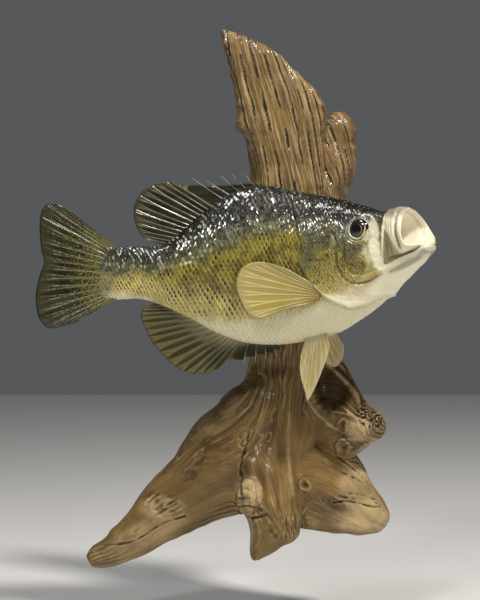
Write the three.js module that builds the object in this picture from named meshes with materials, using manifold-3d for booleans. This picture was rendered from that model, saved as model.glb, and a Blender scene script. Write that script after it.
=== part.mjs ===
// A black crappie with open jaws, mounted on an upright piece of driftwood
// that hangs on a wall.
//
// Millimetres, +Z up. The origin is the middle of the sawn flat on the back of
// the driftwood, where it meets the wall. +Y runs into the wall and +X runs
// toward the fish's head.
//
// The fish is drawn straight: x runs from tail to head, y toward the fish's
// left side and z up. Each finished piece is then bent sideways, so that the
// head turns out from the wall and the tail swings out a little.

import * as THREE from 'three';
import { mergeVertices } from 'three/addons/utils/BufferGeometryUtils.js';
import Module from 'manifold-3d';

// ---------------------------------------------------------------- dimensions

const GAP = 0.3; // clearance between neighbouring pieces

const HEAD_TURN = 0.66; // sideways slope of the spine at the head
const TAIL_SWING = -0.12; // sideways slope of the spine at the tail
const TURN_CENTRE = 5; // x where the spine turns fastest
const TURN_LENGTH = 28; // how gently the spine turns
const STANDOFF = 92; // middle of the tail end of the trunk to the wall
const SWING_PIVOT = -50; // x where the tail's swing is nil

const BODY_ROWS = 24; // sections from the tail root to the lips
const BODY_SIDES = 20; // points round each section
const MOUTH_ROWS = 4; // sections from the lips down to the throat
const LIP = 1.8; // thickness of the lips
const HEAD_FULLNESS = 0.8; // the head stands out this far past the trunk
const COVER_DEPTH = 11; // inner face of each gill cover, from the middle

const EYE_CENTRE = { x: 67.3, z: 64.7 };
const EYE_RADIUS = 9.6; // of the glass eye, its edge under the lids
const EYE_DEPTH = 4.4; // half thickness of the glass eye
const EYE_OFFSET = 16.4; // middle of the glass eye, from the middle of the head

const HALF_SPAN = 80; // lateral reach of the dividing blocks, past both flanks
const OUTLINE_STEP = 12; // longest straight step of a block's outline
const SHARPEST_MITER = 0.5; // keeps an offset corner from running far out

const FIN_EDGE = 0.6; // thickness of a fin at its margin
const FIN_ROOT = 2.6; // thickness of a fin where it grows from the body
const FIN_CLEARANCE = 1; // on every side of a far fin where it lies in the wood
const RAY_STEPS = 3; // rows along each fin ray
const WEB_THICKNESS = 0.9; // of the skin between spines, as a share of a blade's
const SPINE_THICKNESS = 1.6; // of a spine, as a share of a blade's
const WEB_FOOT = 3; // the skin between spines meets the body this far behind each spine

const LIMB_SIDES = 16; // points round each limb of the driftwood
const STATION_STEP = 40; // spacing at which the depths of a limb's stations are blended
const BACK_CUT = { width: 600, depth: 60, height: 700 }; // the block that saws the back flat
const BALL_SIDES = [14, 8]; // round and across each glass eye, hollow and knob

// Sections of the body from the tail root to the cheeks: its back and belly
// points, its half width, and how sharply it closes above and below
// (1 is an ellipse, more is sharper).
const SECTIONS = [
  { back: [-170, 50.5], belly: [-170, -1], half: 3.2, ridge: 1, keel: 1 },
  { back: [-158, 51], belly: [-158, 0.2], half: 6.4, ridge: 1, keel: 1 },
  { back: [-142, 50.5], belly: [-143, 0.5], half: 9, ridge: 1.05, keel: 1 },
  { back: [-122, 52.5], belly: [-124, -5.5], half: 12, ridge: 1.15, keel: 1.05 },
  { back: [-95.5, 74.9], belly: [-97, -18.3], half: 16.5, ridge: 1.35, keel: 1.15 },
  { back: [-69, 95.9], belly: [-72, -32], half: 21.5, ridge: 1.45, keel: 1.15 },
  { back: [-42, 108], belly: [-44, -41.2], half: 25, ridge: 1.45, keel: 1.05 },
  { back: [-12, 107], belly: [-12, -42.8], half: 27, ridge: 1.35, keel: 0.95 },
  { back: [14, 100.6], belly: [16, -38.8], half: 27.5, ridge: 1.25, keel: 0.85 },
  { back: [38, 95.8], belly: [41, -31.8], half: 26.5, ridge: 1.12, keel: 0.82 },
  { back: [57, 90], belly: [61, -19.4], half: 24, ridge: 1, keel: 0.85 },
  { back: [72, 84.8], belly: [79, -5.6], half: 20.5, ridge: 0.9, keel: 0.9 },
  { back: [84, 81.4], belly: [96, 12.4], half: 20, ridge: 0.85, keel: 0.95 },
  { back: [92, 82.4], belly: [111, 29.2], half: 22.5, ridge: 0.85, keel: 0.85 },
  { back: [98.5, 83.8], belly: [120.6, 40.8], half: 24.5, ridge: 0.8, keel: 0.8 },
];

// The lips from the middle of the upper lip to the tip of the lower jaw, down
// the fish's right side and down its left: x, y, z. The jaws hang askew, with
// the left corner of the mouth the higher.
const RIGHT_LIPS = [
  [103.5, 0, 85], [105, -14, 81], [106.3, -24, 71], [107, -26.5, 58],
  [110, -25, 49.5], [118.5, -18.5, 48.5], [126, 0, 53],
];
const LEFT_LIPS = [
  [103.5, 0, 85], [104.8, 12, 82], [106.5, 20.5, 76], [109.5, 25.5, 68],
  [115.5, 22, 60.5], [121.5, 13, 55.6], [126, 0, 53],
];
const MOUTH_MIDDLE = [112, 0, 62];
const THROAT = { x: 76, z: 52, halfWidth: 8, halfHeight: 11 };

// Side-view outlines (x, z) of the pieces that the body is parted into. The
// stretches that lie outside the fish are only there to close them.
const GILL_EDGE = [
  [-6, 118], [-1.5, 103.8], [10, 66], [16.4, 48.3], [12.4, 39], [13.5, 33.4], [17.8, 26.9],
  [27.8, 13], [40, 1.8], [51.7, -4.2], [59.7, -7.4], [74.1, -3.1], [84, 3.5], [100, 8],
];
const CHEEK_EDGE = [
  [0, 58], [30, 64], [45, 62.5], [49.4, 52], [50.5, 38.7], [53, 26.5],
  [61.7, 16.4], [72.6, 15.5], [90, 10],
];
const JAW_HINGE = [105.6, 34.2];
const JAW_EDGE = [[86.5, 96], [87.3, 79.7], [91.5, 68.1], [95.4, 54.2], [100.1, 43.2], JAW_HINGE];
const CHIN_EDGE = [JAW_HINGE, [92.4, 28.5], [84.5, 24.6], [79, 16], [78, -14]];
const MOUTH_CORNER = [[108.6, 49], [109.5, 62], [140, 62]];
const HEAD_OUTLINE = [...GILL_EDGE, [160, 8], [160, 140], [-6, 140]];
const COVER_OUTLINE = [...CHEEK_EDGE, [90, -30], [0, -30]];
const UPPER_JAW_OUTLINE = [...JAW_EDGE, ...MOUTH_CORNER, [140, 110], [86.5, 110]];
const LOWER_JAW_OUTLINE = [...CHIN_EDGE, [140, -14], ...[...MOUTH_CORNER].reverse()];
const TAIL_OUTLINE = [[-116, 80], [-119, 24], [-122, -40], [-200, -40], [-200, 80]];

// Fins: root and margin run from the rearmost ray to the foremost one. Each
// point is x, y, z, and spines carry their tip and the notch behind it.
const DORSAL_FIN = {
  colour: 0x4f4a2c,
  root: [[-116, 0, 46], [-95, 0, 64], [-76, 0, 80]],
  margin: [
    [-131, 0, 54.2], [-142, 0, 59.8], [-149, 0, 73], [-150, 0, 87],
    [-143.5, 0, 101], [-130, 0, 109.7], [-114, 0, 111.8], [-99, 0, 113.2],
  ],
  rays: 14,
  spines: [
    { foot: [-72, 0, 84], notch: [-91, 0, 107], tip: [-97, 0, 116.5] },
    { foot: [-65, 0, 88], notch: [-78, 0, 108], tip: [-83.4, 0, 114.6] },
    { foot: [-58, 0, 92], notch: [-68, 0, 110], tip: [-70, 0, 119.4] },
    { foot: [-51, 0, 95], notch: [-57, 0, 111], tip: [-59, 0, 120.8] },
    { foot: [-44, 0, 97], notch: [-47, 0, 111], tip: [-46.6, 0, 120.9] },
    { foot: [-37, 0, 98], notch: [-38, 0, 110.6], tip: [-36.6, 0, 112] },
  ],
};
const ANAL_FIN = {
  colour: 0x6c6640,
  root: [[-120, 0, 2], [-90, 0, -14], [-62, 0, -28], [-46, 0, -34]],
  margin: [
    [-132, 0, -3.4], [-141.6, 0, -8.5], [-143.5, 0, -16], [-138.8, 0, -28.3], [-133, 0, -39.7],
    [-122.8, 0, -52], [-110.6, 0, -63.4], [-97.4, 0, -69.2], [-84.2, 0, -69.4], [-70.9, 0, -65],
    [-57.6, 0, -59.4],
  ],
  rays: 18,
  spines: [
    { foot: [-41, 0, -35], notch: [-50, 0, -57], tip: [-47.4, 0, -62] },
    { foot: [-34, 0, -35], notch: [-41, 0, -54], tip: [-35.4, 0, -58.6] },
    { foot: [-27, 0, -35], notch: [-31, 0, -52], tip: [-25, 0, -57.4] },
    { foot: [-20, 0, -35], notch: [-22, 0, -50], tip: [-15.2, 0, -54.6] },
    { foot: [-13, 0, -35], notch: [-15, 0, -47], tip: [-10.4, 0, -50.4] },
  ],
};
const CAUDAL_FIN = {
  colour: 0x5a5732,
  root: [[-162, 0, 47], [-163, 0, 36], [-163, 0, 14], [-162, 0, 3]],
  margin: [
    [-209.6, 0, 83.6], [-221, 0, 89.6], [-230, 0, 90.4], [-235, 0, 85], [-237.4, 0, 76],
    [-237.4, 0, 60], [-236, 0, 46], [-233.7, 0, 35.6], [-237.4, 0, 24], [-241, 0, 8],
    [-241, 0, -6], [-237.4, 0, -18.7], [-230, 0, -26.2], [-220, 0, -25.6], [-205, 0, -21.6],
  ],
  rays: 20,
  spines: [],
};
const PECTORAL_FIN_RIGHT = {
  colour: 0xb9ad7c,
  root: [[33, -24.2, -1], [35, -24.5, 5], [36, -24.5, 11]],
  margin: [
    [-1.9, -33, -7.4], [-18.6, -35, -13], [-31.8, -36, -16.7], [-43.6, -37, -12],
    [-51, -37.5, 0], [-55, -38, 11], [-54, -38, 21.3], [-47.8, -37.5, 30.6],
    [-33.9, -36.5, 35.2], [-20.6, -35.5, 34.3], [-1, -33, 29.6], [10, -31, 24.5],
  ],
  rays: 13,
  spines: [],
};
const PECTORAL_FIN_LEFT = {
  colour: 0xb9ad7c,
  root: [[34, 20, -1], [36, 20, 4], [37, 20, 9]],
  margin: [[2, 30, -9], [-14, 31, -14], [-23, 31, -15], [-27, 31, -10], [-24, 31.5, -3], [-6, 31, 4]],
  rays: 9,
  spines: [],
};
const PELVIC_FIN_RIGHT = {
  colour: 0xd8c9a0,
  root: [[14, -8, -33], [24, -8, -30], [33, -9, -26]],
  margin: [
    [11.5, -12, -50], [10, -14, -61], [11.5, -15, -73], [16, -17, -86], [19, -18, -94],
    [25, -17, -84.5], [32.4, -15, -67], [36.6, -13, -53], [38.4, -11, -43],
  ],
  rays: 9,
  spines: [],
};
const PELVIC_FIN_LEFT = {
  colour: 0xa08f5c,
  root: [[14, 7, -33], [24, 7, -30], [34, 8, -26]],
  margin: [
    [13, 15, -46], [15, 24, -53], [20, 33, -60], [26, 40, -65],
    [33.5, 33, -58.5], [38.5, 24, -51], [41.5, 15, -43],
  ],
  rays: 8,
  spines: [],
};

// Limbs of the driftwood. Each station gives one edge (x, z), the other edge
// (x, z), and how far its front and its back stand from the wall.
const STEM = [
  [-69, 265, -65, 265, 50, 38],
  [-66.5, 253, -36, 254, 55, 33],
  [-63.5, 240, -10.5, 241, 58, 31],
  [-58.8, 222, 5.6, 222, 60, 29],
  [-54.4, 202, 26, 202, 62, 27],
  [-52.4, 184, 35, 184, 62, 25],
  [-54.4, 172, 36, 172, 62, 22],
  [-45, 158, 36, 158, 62, 18],
  [-40.2, 137, 37, 137, 63, 12],
  [-39, 110, 38, 110, 67, 2],
  [-38.5, 70, 41, 70, 72, -5],
  [-38.5, 15, 43, 15, 73, -5],
  [-39.5, -35, 44, -35, 71, -5],
  [-41.5, -64, 46, -66, 70, -5],
  [-50, -92, 44, -92, 72, -5],
  [-54, -120, 38, -120, 76, -5],
  [-55, -150, 26, -150, 80, -5],
  [-54, -185, 20, -188, 78, -5],
  [-47, -208, 10, -212, 66, -2],
];
const SIDE_LOBE = [
  [43, 185.5, 53, 185.5, 40, 28],
  [37, 179, 60.6, 177, 47, 22],
  [33, 169, 65, 169, 50, 19],
  [30, 146, 64.5, 146, 53, 14],
  [28, 124, 62, 124, 56, 6],
  [24, 104, 55, 104, 60, 0],
  [20, 70, 50, 70, 62, -5],
];
const LEFT_ROOT = [
  [-30, -64, 10, -120, 70, -5],
  [-46, -80, -10, -168, 74, -5],
  [-66, -99, -34, -205, 72, -5],
  [-95, -124, -57, -212, 66, -5],
  [-116.5, -158.8, -90.9, -225.5, 58, -4],
  [-143, -186, -117, -238.5, 52, -2],
  [-164, -213.5, -144, -253.5, 47, 1],
  [-184, -238, -166, -261.5, 42, 4],
  [-197.5, -247.5, -183, -265, 38, 8],
  [-202, -255, -196, -265, 32, 15],
];
const FRONT_STUB = [
  [-46, -140, 8, -140, 80, 20],
  [-51, -170, 11, -170, 92, 20],
  [-51, -194, 10.5, -194, 98, 22],
  [-42, -213, 8.5, -214, 102, 26],
  [-39, -228, 7.5, -227, 101, 32],
  [-39.5, -240, -10, -236.5, 97, 42],
  [-39, -249.5, -30, -247.5, 90, 54],
];
const RIGHT_ROOT = [
  [14, -130, 2, -222, 76, 0],
  [42, -140, 28, -227, 72, -2],
  [66, -156, 54, -229.5, 66, 2],
  [81, -181.5, 74, -230.5, 60, 6],
  [92.5, -202, 90, -226.5, 52, 14],
  [97.4, -212, 96, -219.5, 44, 26],
];
const BURL = [
  [14, -44, 14, -140, 74, 0],
  [44, -52, 42, -154, 86, 4],
  [59, -78, 60, -152, 88, 10],
  [76, -102, 75, -143.5, 80, 18],
  [88, -112.5, 87.5, -135, 68, 26],
  [92.5, -120, 92, -127, 56, 38],
];

// Each limb's stations, its rows, the depth of its flutes and its squareness
// (1 is round, less is squarer).
const LIMBS = [
  { stations: STEM, rows: 18, flutes: 0.1, square: 0.8 },
  { stations: SIDE_LOBE, rows: 8, flutes: 0.06, square: 0.9 },
  { stations: LEFT_ROOT, rows: 12, flutes: 0.12, square: 0.85 },
  { stations: FRONT_STUB, rows: 9, flutes: 0.1, square: 0.85 },
  { stations: RIGHT_ROOT, rows: 8, flutes: 0.1, square: 0.85 },
  { stations: BURL, rows: 8, flutes: 0.1, square: 0.9 },
];
const BURL_HOLLOW = { centre: [38, -94, -92], radii: [13, 26, 20] };
const KNOBS = [
  { centre: [-58, -44, -103], radii: [16, 26, 15.5] },
  { centre: [-85, -42, -126], radii: [15, 22, 13] },
  { centre: [-171, -26, -233], radii: [11, 15, 8.5] },
  { centre: [-30, -84, -207], radii: [18, 18, 12] },
];

const SKIN = {
  head: 0x6d6a4c,
  gillCover: 0x8c8450,
  jaw: 0xd9cfb8,
  trunk: 0x6a6a3c,
  tail: 0x5c5c38,
  eye: 0x120d08,
  wood: 0x9a7447,
};

const wasm = await Module();
wasm.setup();

// ------------------------------------------------------------- small helpers

const mix = (a, b, t) => a + (b - a) * t;
const signedPower = (value, power) => Math.sign(value) * Math.abs(value) ** power;
const vectors = (points) => points.map((point) => new THREE.Vector3(...point));
const smoothCurve = (points) => new THREE.CatmullRomCurve3(vectors(points), false, 'centripetal');

function toSolid(geometry) {
  geometry.deleteAttribute('normal');
  geometry.deleteAttribute('uv');
  const merged = mergeVertices(geometry);
  return new wasm.Manifold(new wasm.Mesh({
    numProp: 3,
    vertProperties: new Float32Array(merged.attributes.position.array),
    triVerts: new Uint32Array(merged.index.array),
  }));
}

function toGeometry(solid) {
  const mesh = solid.getMesh();
  const geometry = new THREE.BufferGeometry();
  geometry.setAttribute('position', new THREE.Float32BufferAttribute(mesh.vertProperties, 3));
  geometry.setIndex(new THREE.Uint32BufferAttribute(mesh.triVerts, 1));
  return geometry;
}

// A closed skin through rings of points, with a fan of triangles at each end.
function loft(rings) {
  const sides = rings[0].length;
  const centres = [rings[0], rings.at(-1)].map((ring) => (
    ring.reduce((sum, point) => sum.add(point), new THREE.Vector3()).divideScalar(sides)
  ));
  const points = [...rings.flat(), ...centres];
  const lastRow = (rings.length - 1) * sides;
  const index = [];
  for (let j = 0; j < sides; j += 1) {
    const next = (j + 1) % sides;
    for (let row = 0; row < lastRow; row += sides) {
      index.push(row + j, row + next, row + sides + next);
      index.push(row + j, row + sides + next, row + sides + j);
    }
    index.push(points.length - 2, next, j);
    index.push(points.length - 1, lastRow + j, lastRow + next);
  }
  const solid = skinSolid(points, index);
  return solid.volume() > 0 ? solid : skinSolid(points, index.reverse());
}

const skinSolid = (points, index) => (
  toSolid(new THREE.BufferGeometry().setFromPoints(points).setIndex(index))
);

// The outline with extra points, so that no step is longer than OUTLINE_STEP.
function finely(outline) {
  return outline.flatMap((point, i) => {
    const [toX, toZ] = outline[(i + 1) % outline.length];
    const steps = Math.ceil(Math.hypot(toX - point[0], toZ - point[1]) / OUTLINE_STEP);
    return Array.from({ length: steps }, (_, k) => (
      new THREE.Vector2(mix(point[0], toX, k / steps), mix(point[1], toZ, k / steps))
    ));
  });
}

// The outline moved outward by grow, or inward where grow is negative.
function offsetOutline(points, grow) {
  const outward = grow * Math.sign(THREE.ShapeUtils.area(points));
  return points.map((point, i) => {
    const arriving = point.clone().sub(points.at(i - 1)).normalize();
    const leaving = points[(i + 1) % points.length].clone().sub(point).normalize();
    const normal = new THREE.Vector2(arriving.y + leaving.y, -arriving.x - leaving.x).normalize();
    const miter = Math.max(SHARPEST_MITER, normal.x * arriving.y - normal.y * arriving.x);
    return point.clone().addScaledVector(normal, outward / miter);
  });
}

// A side-view outline (x, z) pushed through the straight fish from y = from to
// y = to, then bent with it. Grown and shrunk blocks have matching triangles.
function block(outline, grow, from = -HALF_SPAN, to = HALF_SPAN) {
  const points = finely(outline);
  const count = points.length;
  const moved = offsetOutline(points, grow);
  const corners = [from, to].flatMap((y) => (
    moved.map((point) => bendPoint(new THREE.Vector3(point.x, y, point.y)))
  ));
  const index = [];
  for (const [a, b, c] of THREE.ShapeUtils.triangulateShape(points, [])) {
    index.push(a, b, c, count + a, count + c, count + b);
  }
  const turn = Math.sign(THREE.ShapeUtils.area(points));
  for (let j = 0; j < count; j += 1) {
    const [a, b] = turn > 0 ? [(j + 1) % count, j] : [j, (j + 1) % count];
    index.push(a, b, count + b, a, count + b, count + a);
  }
  const solid = skinSolid(corners, index);
  return solid.volume() > 0 ? solid : skinSolid(corners, index.reverse());
}

// ----------------------------------------------------------------- the bend

const turnAt = (x) => {
  const progress = 1 / (1 + Math.exp(-(x - TURN_CENTRE) / TURN_LENGTH));
  return Math.atan(mix(TAIL_SWING, HEAD_TURN, progress));
};

const outwardAt = (x) => {
  const turned = TURN_LENGTH * Math.log(1 + Math.exp((x - TURN_CENTRE) / TURN_LENGTH));
  return TAIL_SWING * (x - SWING_PIVOT) + (HEAD_TURN - TAIL_SWING) * turned;
};

function bendPoint(point) {
  const turn = turnAt(point.x);
  return new THREE.Vector3(
    point.x + point.y * Math.sin(turn),
    point.y * Math.cos(turn) - outwardAt(point.x) - STANDOFF,
    point.z,
  );
}

function bend(geometry) {
  const position = geometry.attributes.position;
  for (let i = 0; i < position.count; i += 1) {
    const bent = bendPoint(new THREE.Vector3().fromBufferAttribute(position, i));
    position.setXYZ(i, bent.x, bent.y, bent.z);
  }
  return geometry;
}

const bentLoft = (rings) => loft(rings.map((ring) => ring.map(bendPoint)));

// ------------------------------------------------------------ body and mouth

function sectionPoint(section, angle, grow, fuller) {
  const up = Math.sin(angle);
  const height = (up + 1) / 2;
  const sharpness = up > 0 ? section.ridge : section.keel;
  return new THREE.Vector3(
    mix(section.belly[0], section.back[0], height),
    (section.half + grow + fuller) * signedPower(Math.cos(angle), sharpness),
    mix(section.belly[1] - grow, section.back[1] + grow, height),
  );
}

function lipPoint(angle) {
  const fromTop = 0.5 - Math.asin(Math.sin(angle)) / Math.PI;
  return smoothCurve(Math.cos(angle) < 0 ? RIGHT_LIPS : LEFT_LIPS).getPoint(fromTop);
}

function throatPoint(angle) {
  return new THREE.Vector3(
    THROAT.x,
    THROAT.halfWidth * Math.cos(angle),
    THROAT.z + THROAT.halfHeight * Math.sin(angle),
  );
}

// The whole body with its open mouth as one solid.
function bodySolid({ grow = 0, fuller = 0 }) {
  const angles = Array.from({ length: BODY_SIDES }, (_, j) => (j * 2 * Math.PI) / BODY_SIDES);
  const lines = angles.map((angle) => new THREE.CatmullRomCurve3(
    [...SECTIONS.map((section) => sectionPoint(section, angle, grow, fuller)), lipPoint(angle)],
    false, 'centripetal',
  ));
  const rings = [];
  for (let i = 0; i <= BODY_ROWS; i += 1) {
    rings.push(lines.map((line) => line.getPoint(i / BODY_ROWS)));
  }
  rings.push(...mouthRings(angles, rings.at(-1)));
  return bentLoft(rings);
}

function mouthRings(angles, lips) {
  const middle = new THREE.Vector3(...MOUTH_MIDDLE);
  const inner = lips.map((point) => point.clone().addScaledVector(
    middle.clone().sub(point).normalize(), LIP,
  ));
  const rings = [];
  for (let k = 0; k <= MOUTH_ROWS; k += 1) {
    const depth = k / MOUTH_ROWS;
    rings.push(angles.map((angle, j) => inner[j].clone().lerp(throatPoint(angle), depth)));
  }
  return rings;
}

function eyeball(side, grow) {
  const geometry = new THREE.SphereGeometry(1, ...BALL_SIDES);
  geometry.scale(EYE_RADIUS + grow, EYE_RADIUS + grow, EYE_DEPTH + grow);
  geometry.rotateX(Math.PI / 2);
  geometry.translate(EYE_CENTRE.x, side * EYE_OFFSET, EYE_CENTRE.z);
  return toSolid(bend(geometry));
}

// The gill cover on one side, as deep as the given distance from the middle.
function coverBlock(side, grow, depth) {
  const reach = [side * depth, side * HALF_SPAN].sort((a, b) => a - b);
  return block(COVER_OUTLINE, grow, ...reach);
}

// The body is parted by blocks: a piece keeps what lies in its block shrunk by
// half the gap, and its neighbours lose the block grown by half the gap.
function bodyPieces() {
  const keep = -GAP / 2;
  const clear = GAP / 2;
  const whole = bodySolid({});
  const fullHead = bodySolid({ fuller: HEAD_FULLNESS }).intersect(block(HEAD_OUTLINE, keep));
  const jaws = [UPPER_JAW_OUTLINE, LOWER_JAW_OUTLINE].map((outline) => (
    fullHead.intersect(block(outline, keep))
  ));
  let head = fullHead.subtract(block(UPPER_JAW_OUTLINE, clear))
    .subtract(block(LOWER_JAW_OUTLINE, clear));
  const covers = [-1, 1].map((side) => head.intersect(coverBlock(side, keep, COVER_DEPTH)));
  for (const side of [-1, 1]) {
    head = head.subtract(coverBlock(side, clear, COVER_DEPTH - GAP)).subtract(eyeball(side, GAP));
  }
  const trunk = whole.subtract(block(HEAD_OUTLINE, clear)).subtract(block(TAIL_OUTLINE, clear));
  const tail = whole.intersect(block(TAIL_OUTLINE, keep));
  return { head, covers, jaws, trunk, tail };
}

// ------------------------------------------------------------------- fins

// One cross-section of a fin blade along a ray, out on one face and back on
// the other.
function rayRing(foot, tip, thickness, grow) {
  const nearFace = [];
  const farFace = [];
  for (let k = 0; k <= RAY_STEPS; k += 1) {
    const point = foot.clone().lerp(tip, k / RAY_STEPS);
    const half = mix(FIN_ROOT, FIN_EDGE, k / RAY_STEPS) * thickness / 2 + grow;
    nearFace.push(point.clone().setY(point.y - half));
    farFace.push(point.clone().setY(point.y + half));
  }
  return [...nearFace, ...farFace.reverse()];
}

// A fin as one blade, with its spines standing out thicker than the skin
// between them.
function finSolid({ root, margin, rays, spines }, grow = 0) {
  const rootCurve = smoothCurve(root);
  const marginCurve = smoothCurve(margin);
  const rings = [];
  for (let i = 0; i < rays; i += 1) {
    const t = i / (rays - 1);
    rings.push(rayRing(rootCurve.getPoint(t), marginCurve.getPoint(t), 1, grow));
  }
  for (const { foot, notch, tip } of spines) {
    const [footPoint, notchPoint, tipPoint] = vectors([foot, notch, tip]);
    const webFoot = footPoint.clone().setX(footPoint.x - WEB_FOOT);
    rings.push(rayRing(webFoot, notchPoint, WEB_THICKNESS, grow));
    rings.push(rayRing(footPoint, tipPoint, SPINE_THICKNESS, grow));
  }
  return bentLoft(rings);
}

// The same fin spread a little wider and longer, to cut its recess.
function widened(fin) {
  const outline = vectors([...fin.root, ...fin.margin]);
  const centre = new THREE.Box3().setFromPoints(outline).getCenter(new THREE.Vector3());
  const outward = (points) => vectors(points).map((point) => (
    point.addScaledVector(point.clone().sub(centre).normalize(), 2 * FIN_CLEARANCE).toArray()
  ));
  return { ...fin, root: outward(fin.root), margin: outward(fin.margin) };
}

// --------------------------------------------------------------- driftwood

function limbSolid({ stations, rows, flutes, square }) {
  const edgeCurve = (column) => smoothCurve(
    stations.map((station) => [station[column], 0, station[column + 1]]),
  );
  const nearEdge = edgeCurve(0);
  const farEdge = edgeCurve(2);
  const depths = smoothCurve(stations.map((station, i) => [i * STATION_STEP, station[4], station[5]]));
  const rings = [];
  for (let i = 0; i <= rows; i += 1) {
    const t = i / rows;
    rings.push(limbRing(nearEdge.getPoint(t), farEdge.getPoint(t), depths.getPoint(t), flutes, square));
  }
  return loft(rings);
}

function limbRing(edge, otherEdge, depth, flutes, square) {
  const middle = edge.clone().add(otherEdge).multiplyScalar(0.5);
  const across = otherEdge.clone().sub(middle);
  const front = depth.y;
  const back = depth.z;
  const ring = [];
  for (let j = 0; j < LIMB_SIDES; j += 1) {
    const angle = (j * 2 * Math.PI) / LIMB_SIDES;
    const flute = 1 - flutes * (0.5 - 0.5 * Math.cos(angle * LIMB_SIDES / 2)) * Math.abs(Math.sin(angle));
    const side = signedPower(Math.cos(angle), square);
    const out = signedPower(Math.sin(angle), square) * flute;
    const point = middle.clone().addScaledVector(across, side);
    ring.push(point.setY(-mix(back, front, (out + 1) / 2)));
  }
  return ring;
}

function ellipsoid({ centre, radii }) {
  const geometry = new THREE.SphereGeometry(1, ...BALL_SIDES);
  geometry.scale(...radii);
  geometry.translate(...centre);
  return toSolid(geometry);
}

function driftwoodSolid(seatCutters) {
  const limbs = [...LIMBS.map(limbSolid), ...KNOBS.map(ellipsoid)];
  let wood = limbs.reduce((whole, limb) => whole.add(limb));
  wood = wood.subtract(ellipsoid(BURL_HOLLOW));
  const { width, depth, height } = BACK_CUT;
  const behindWall = new THREE.BoxGeometry(width, depth, height).translate(0, depth / 2, 0);
  wood = wood.subtract(toSolid(behindWall));
  for (const cutter of seatCutters) wood = wood.subtract(cutter);
  return wood;
}

// ---------------------------------------------------------------- assembly

const group = new THREE.Group();

function addMesh(name, solid, color, roughness = 0.4) {
  const material = new THREE.MeshStandardMaterial({ color, roughness, metalness: 0 });
  const mesh = new THREE.Mesh(toGeometry(solid), material);
  mesh.name = name;
  group.add(mesh);
}

const pieces = bodyPieces();
addMesh('head', pieces.head, SKIN.head);
addMesh('gill_cover_right', pieces.covers[0], SKIN.gillCover);
addMesh('gill_cover_left', pieces.covers[1], SKIN.gillCover);
addMesh('upper_jaw', pieces.jaws[0], SKIN.jaw);
addMesh('lower_jaw', pieces.jaws[1], SKIN.jaw);
addMesh('trunk', pieces.trunk, SKIN.trunk);
addMesh('tail_stalk', pieces.tail, SKIN.tail);
addMesh('eye_right', eyeball(-1, 0), SKIN.eye, 0.05);
addMesh('eye_left', eyeball(1, 0), SKIN.eye, 0.05);

const fleshClearance = bodySolid({ grow: GAP, fuller: HEAD_FULLNESS });
const fins = {
  dorsal_fin: DORSAL_FIN,
  anal_fin: ANAL_FIN,
  caudal_fin: CAUDAL_FIN,
  pectoral_fin_right: PECTORAL_FIN_RIGHT,
  pectoral_fin_left: PECTORAL_FIN_LEFT,
  pelvic_fin_right: PELVIC_FIN_RIGHT,
  pelvic_fin_left: PELVIC_FIN_LEFT,
};
for (const [name, fin] of Object.entries(fins)) {
  addMesh(name, finSolid(fin).subtract(fleshClearance), fin.colour);
}

const seatCutters = [
  fleshClearance,
  finSolid(widened(PECTORAL_FIN_LEFT), FIN_CLEARANCE),
  finSolid(widened(PELVIC_FIN_LEFT), FIN_CLEARANCE),
];
addMesh('driftwood', driftwoodSolid(seatCutters), SKIN.wood, 0.5);

export default group;
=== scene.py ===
"""A black crappie with open jaws, mounted on an upright piece of driftwood that hangs on a wall.

The fish is drawn straight, in millimetres: x runs from tail to head, y toward the fish's left side
and z up. Each finished surface is bent sideways and then stored in metres, in the frame's own axes.
"""

import math

import bpy
import numpy as np
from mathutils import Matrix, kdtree


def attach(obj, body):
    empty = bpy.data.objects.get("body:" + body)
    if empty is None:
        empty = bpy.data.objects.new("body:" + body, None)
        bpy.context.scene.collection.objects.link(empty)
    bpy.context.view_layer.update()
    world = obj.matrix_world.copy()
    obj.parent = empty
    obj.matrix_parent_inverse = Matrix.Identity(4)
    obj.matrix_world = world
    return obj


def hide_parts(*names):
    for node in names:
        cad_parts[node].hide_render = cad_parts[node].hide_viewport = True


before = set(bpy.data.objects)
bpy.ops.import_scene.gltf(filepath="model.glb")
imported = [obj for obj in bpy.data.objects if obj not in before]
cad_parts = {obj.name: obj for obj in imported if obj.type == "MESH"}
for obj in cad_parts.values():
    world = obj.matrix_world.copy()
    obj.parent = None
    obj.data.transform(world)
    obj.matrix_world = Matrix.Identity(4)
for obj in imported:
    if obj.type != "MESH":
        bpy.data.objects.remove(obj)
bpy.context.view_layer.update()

bl_info = {
    "name": "Mounted crappie on driftwood",
    "version": (1, 0, 0),
    "blender": (4, 5, 0),
    "location": "3D View > Sidebar > Mounted fish",
    "description": "Builds the skin, scales, fins, eyes and driftwood of a mounted crappie",
    "category": "Object",
}

MM = 0.001
TINY = 1e-9  # keeps a division from meeting 0

# ------------------------------------------------------------------ the straight fish

HEAD_TURN = 0.66  # sideways slope of the spine at the head
TAIL_SWING = -0.12  # sideways slope of the spine at the tail
TURN_CENTRE = 5  # x where the spine turns fastest
TURN_LENGTH = 28  # how gently the spine turns
STANDOFF = 92  # middle of the tail end of the trunk to the wall
SWING_PIVOT = -50  # x where the tail's swing is nil

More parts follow.
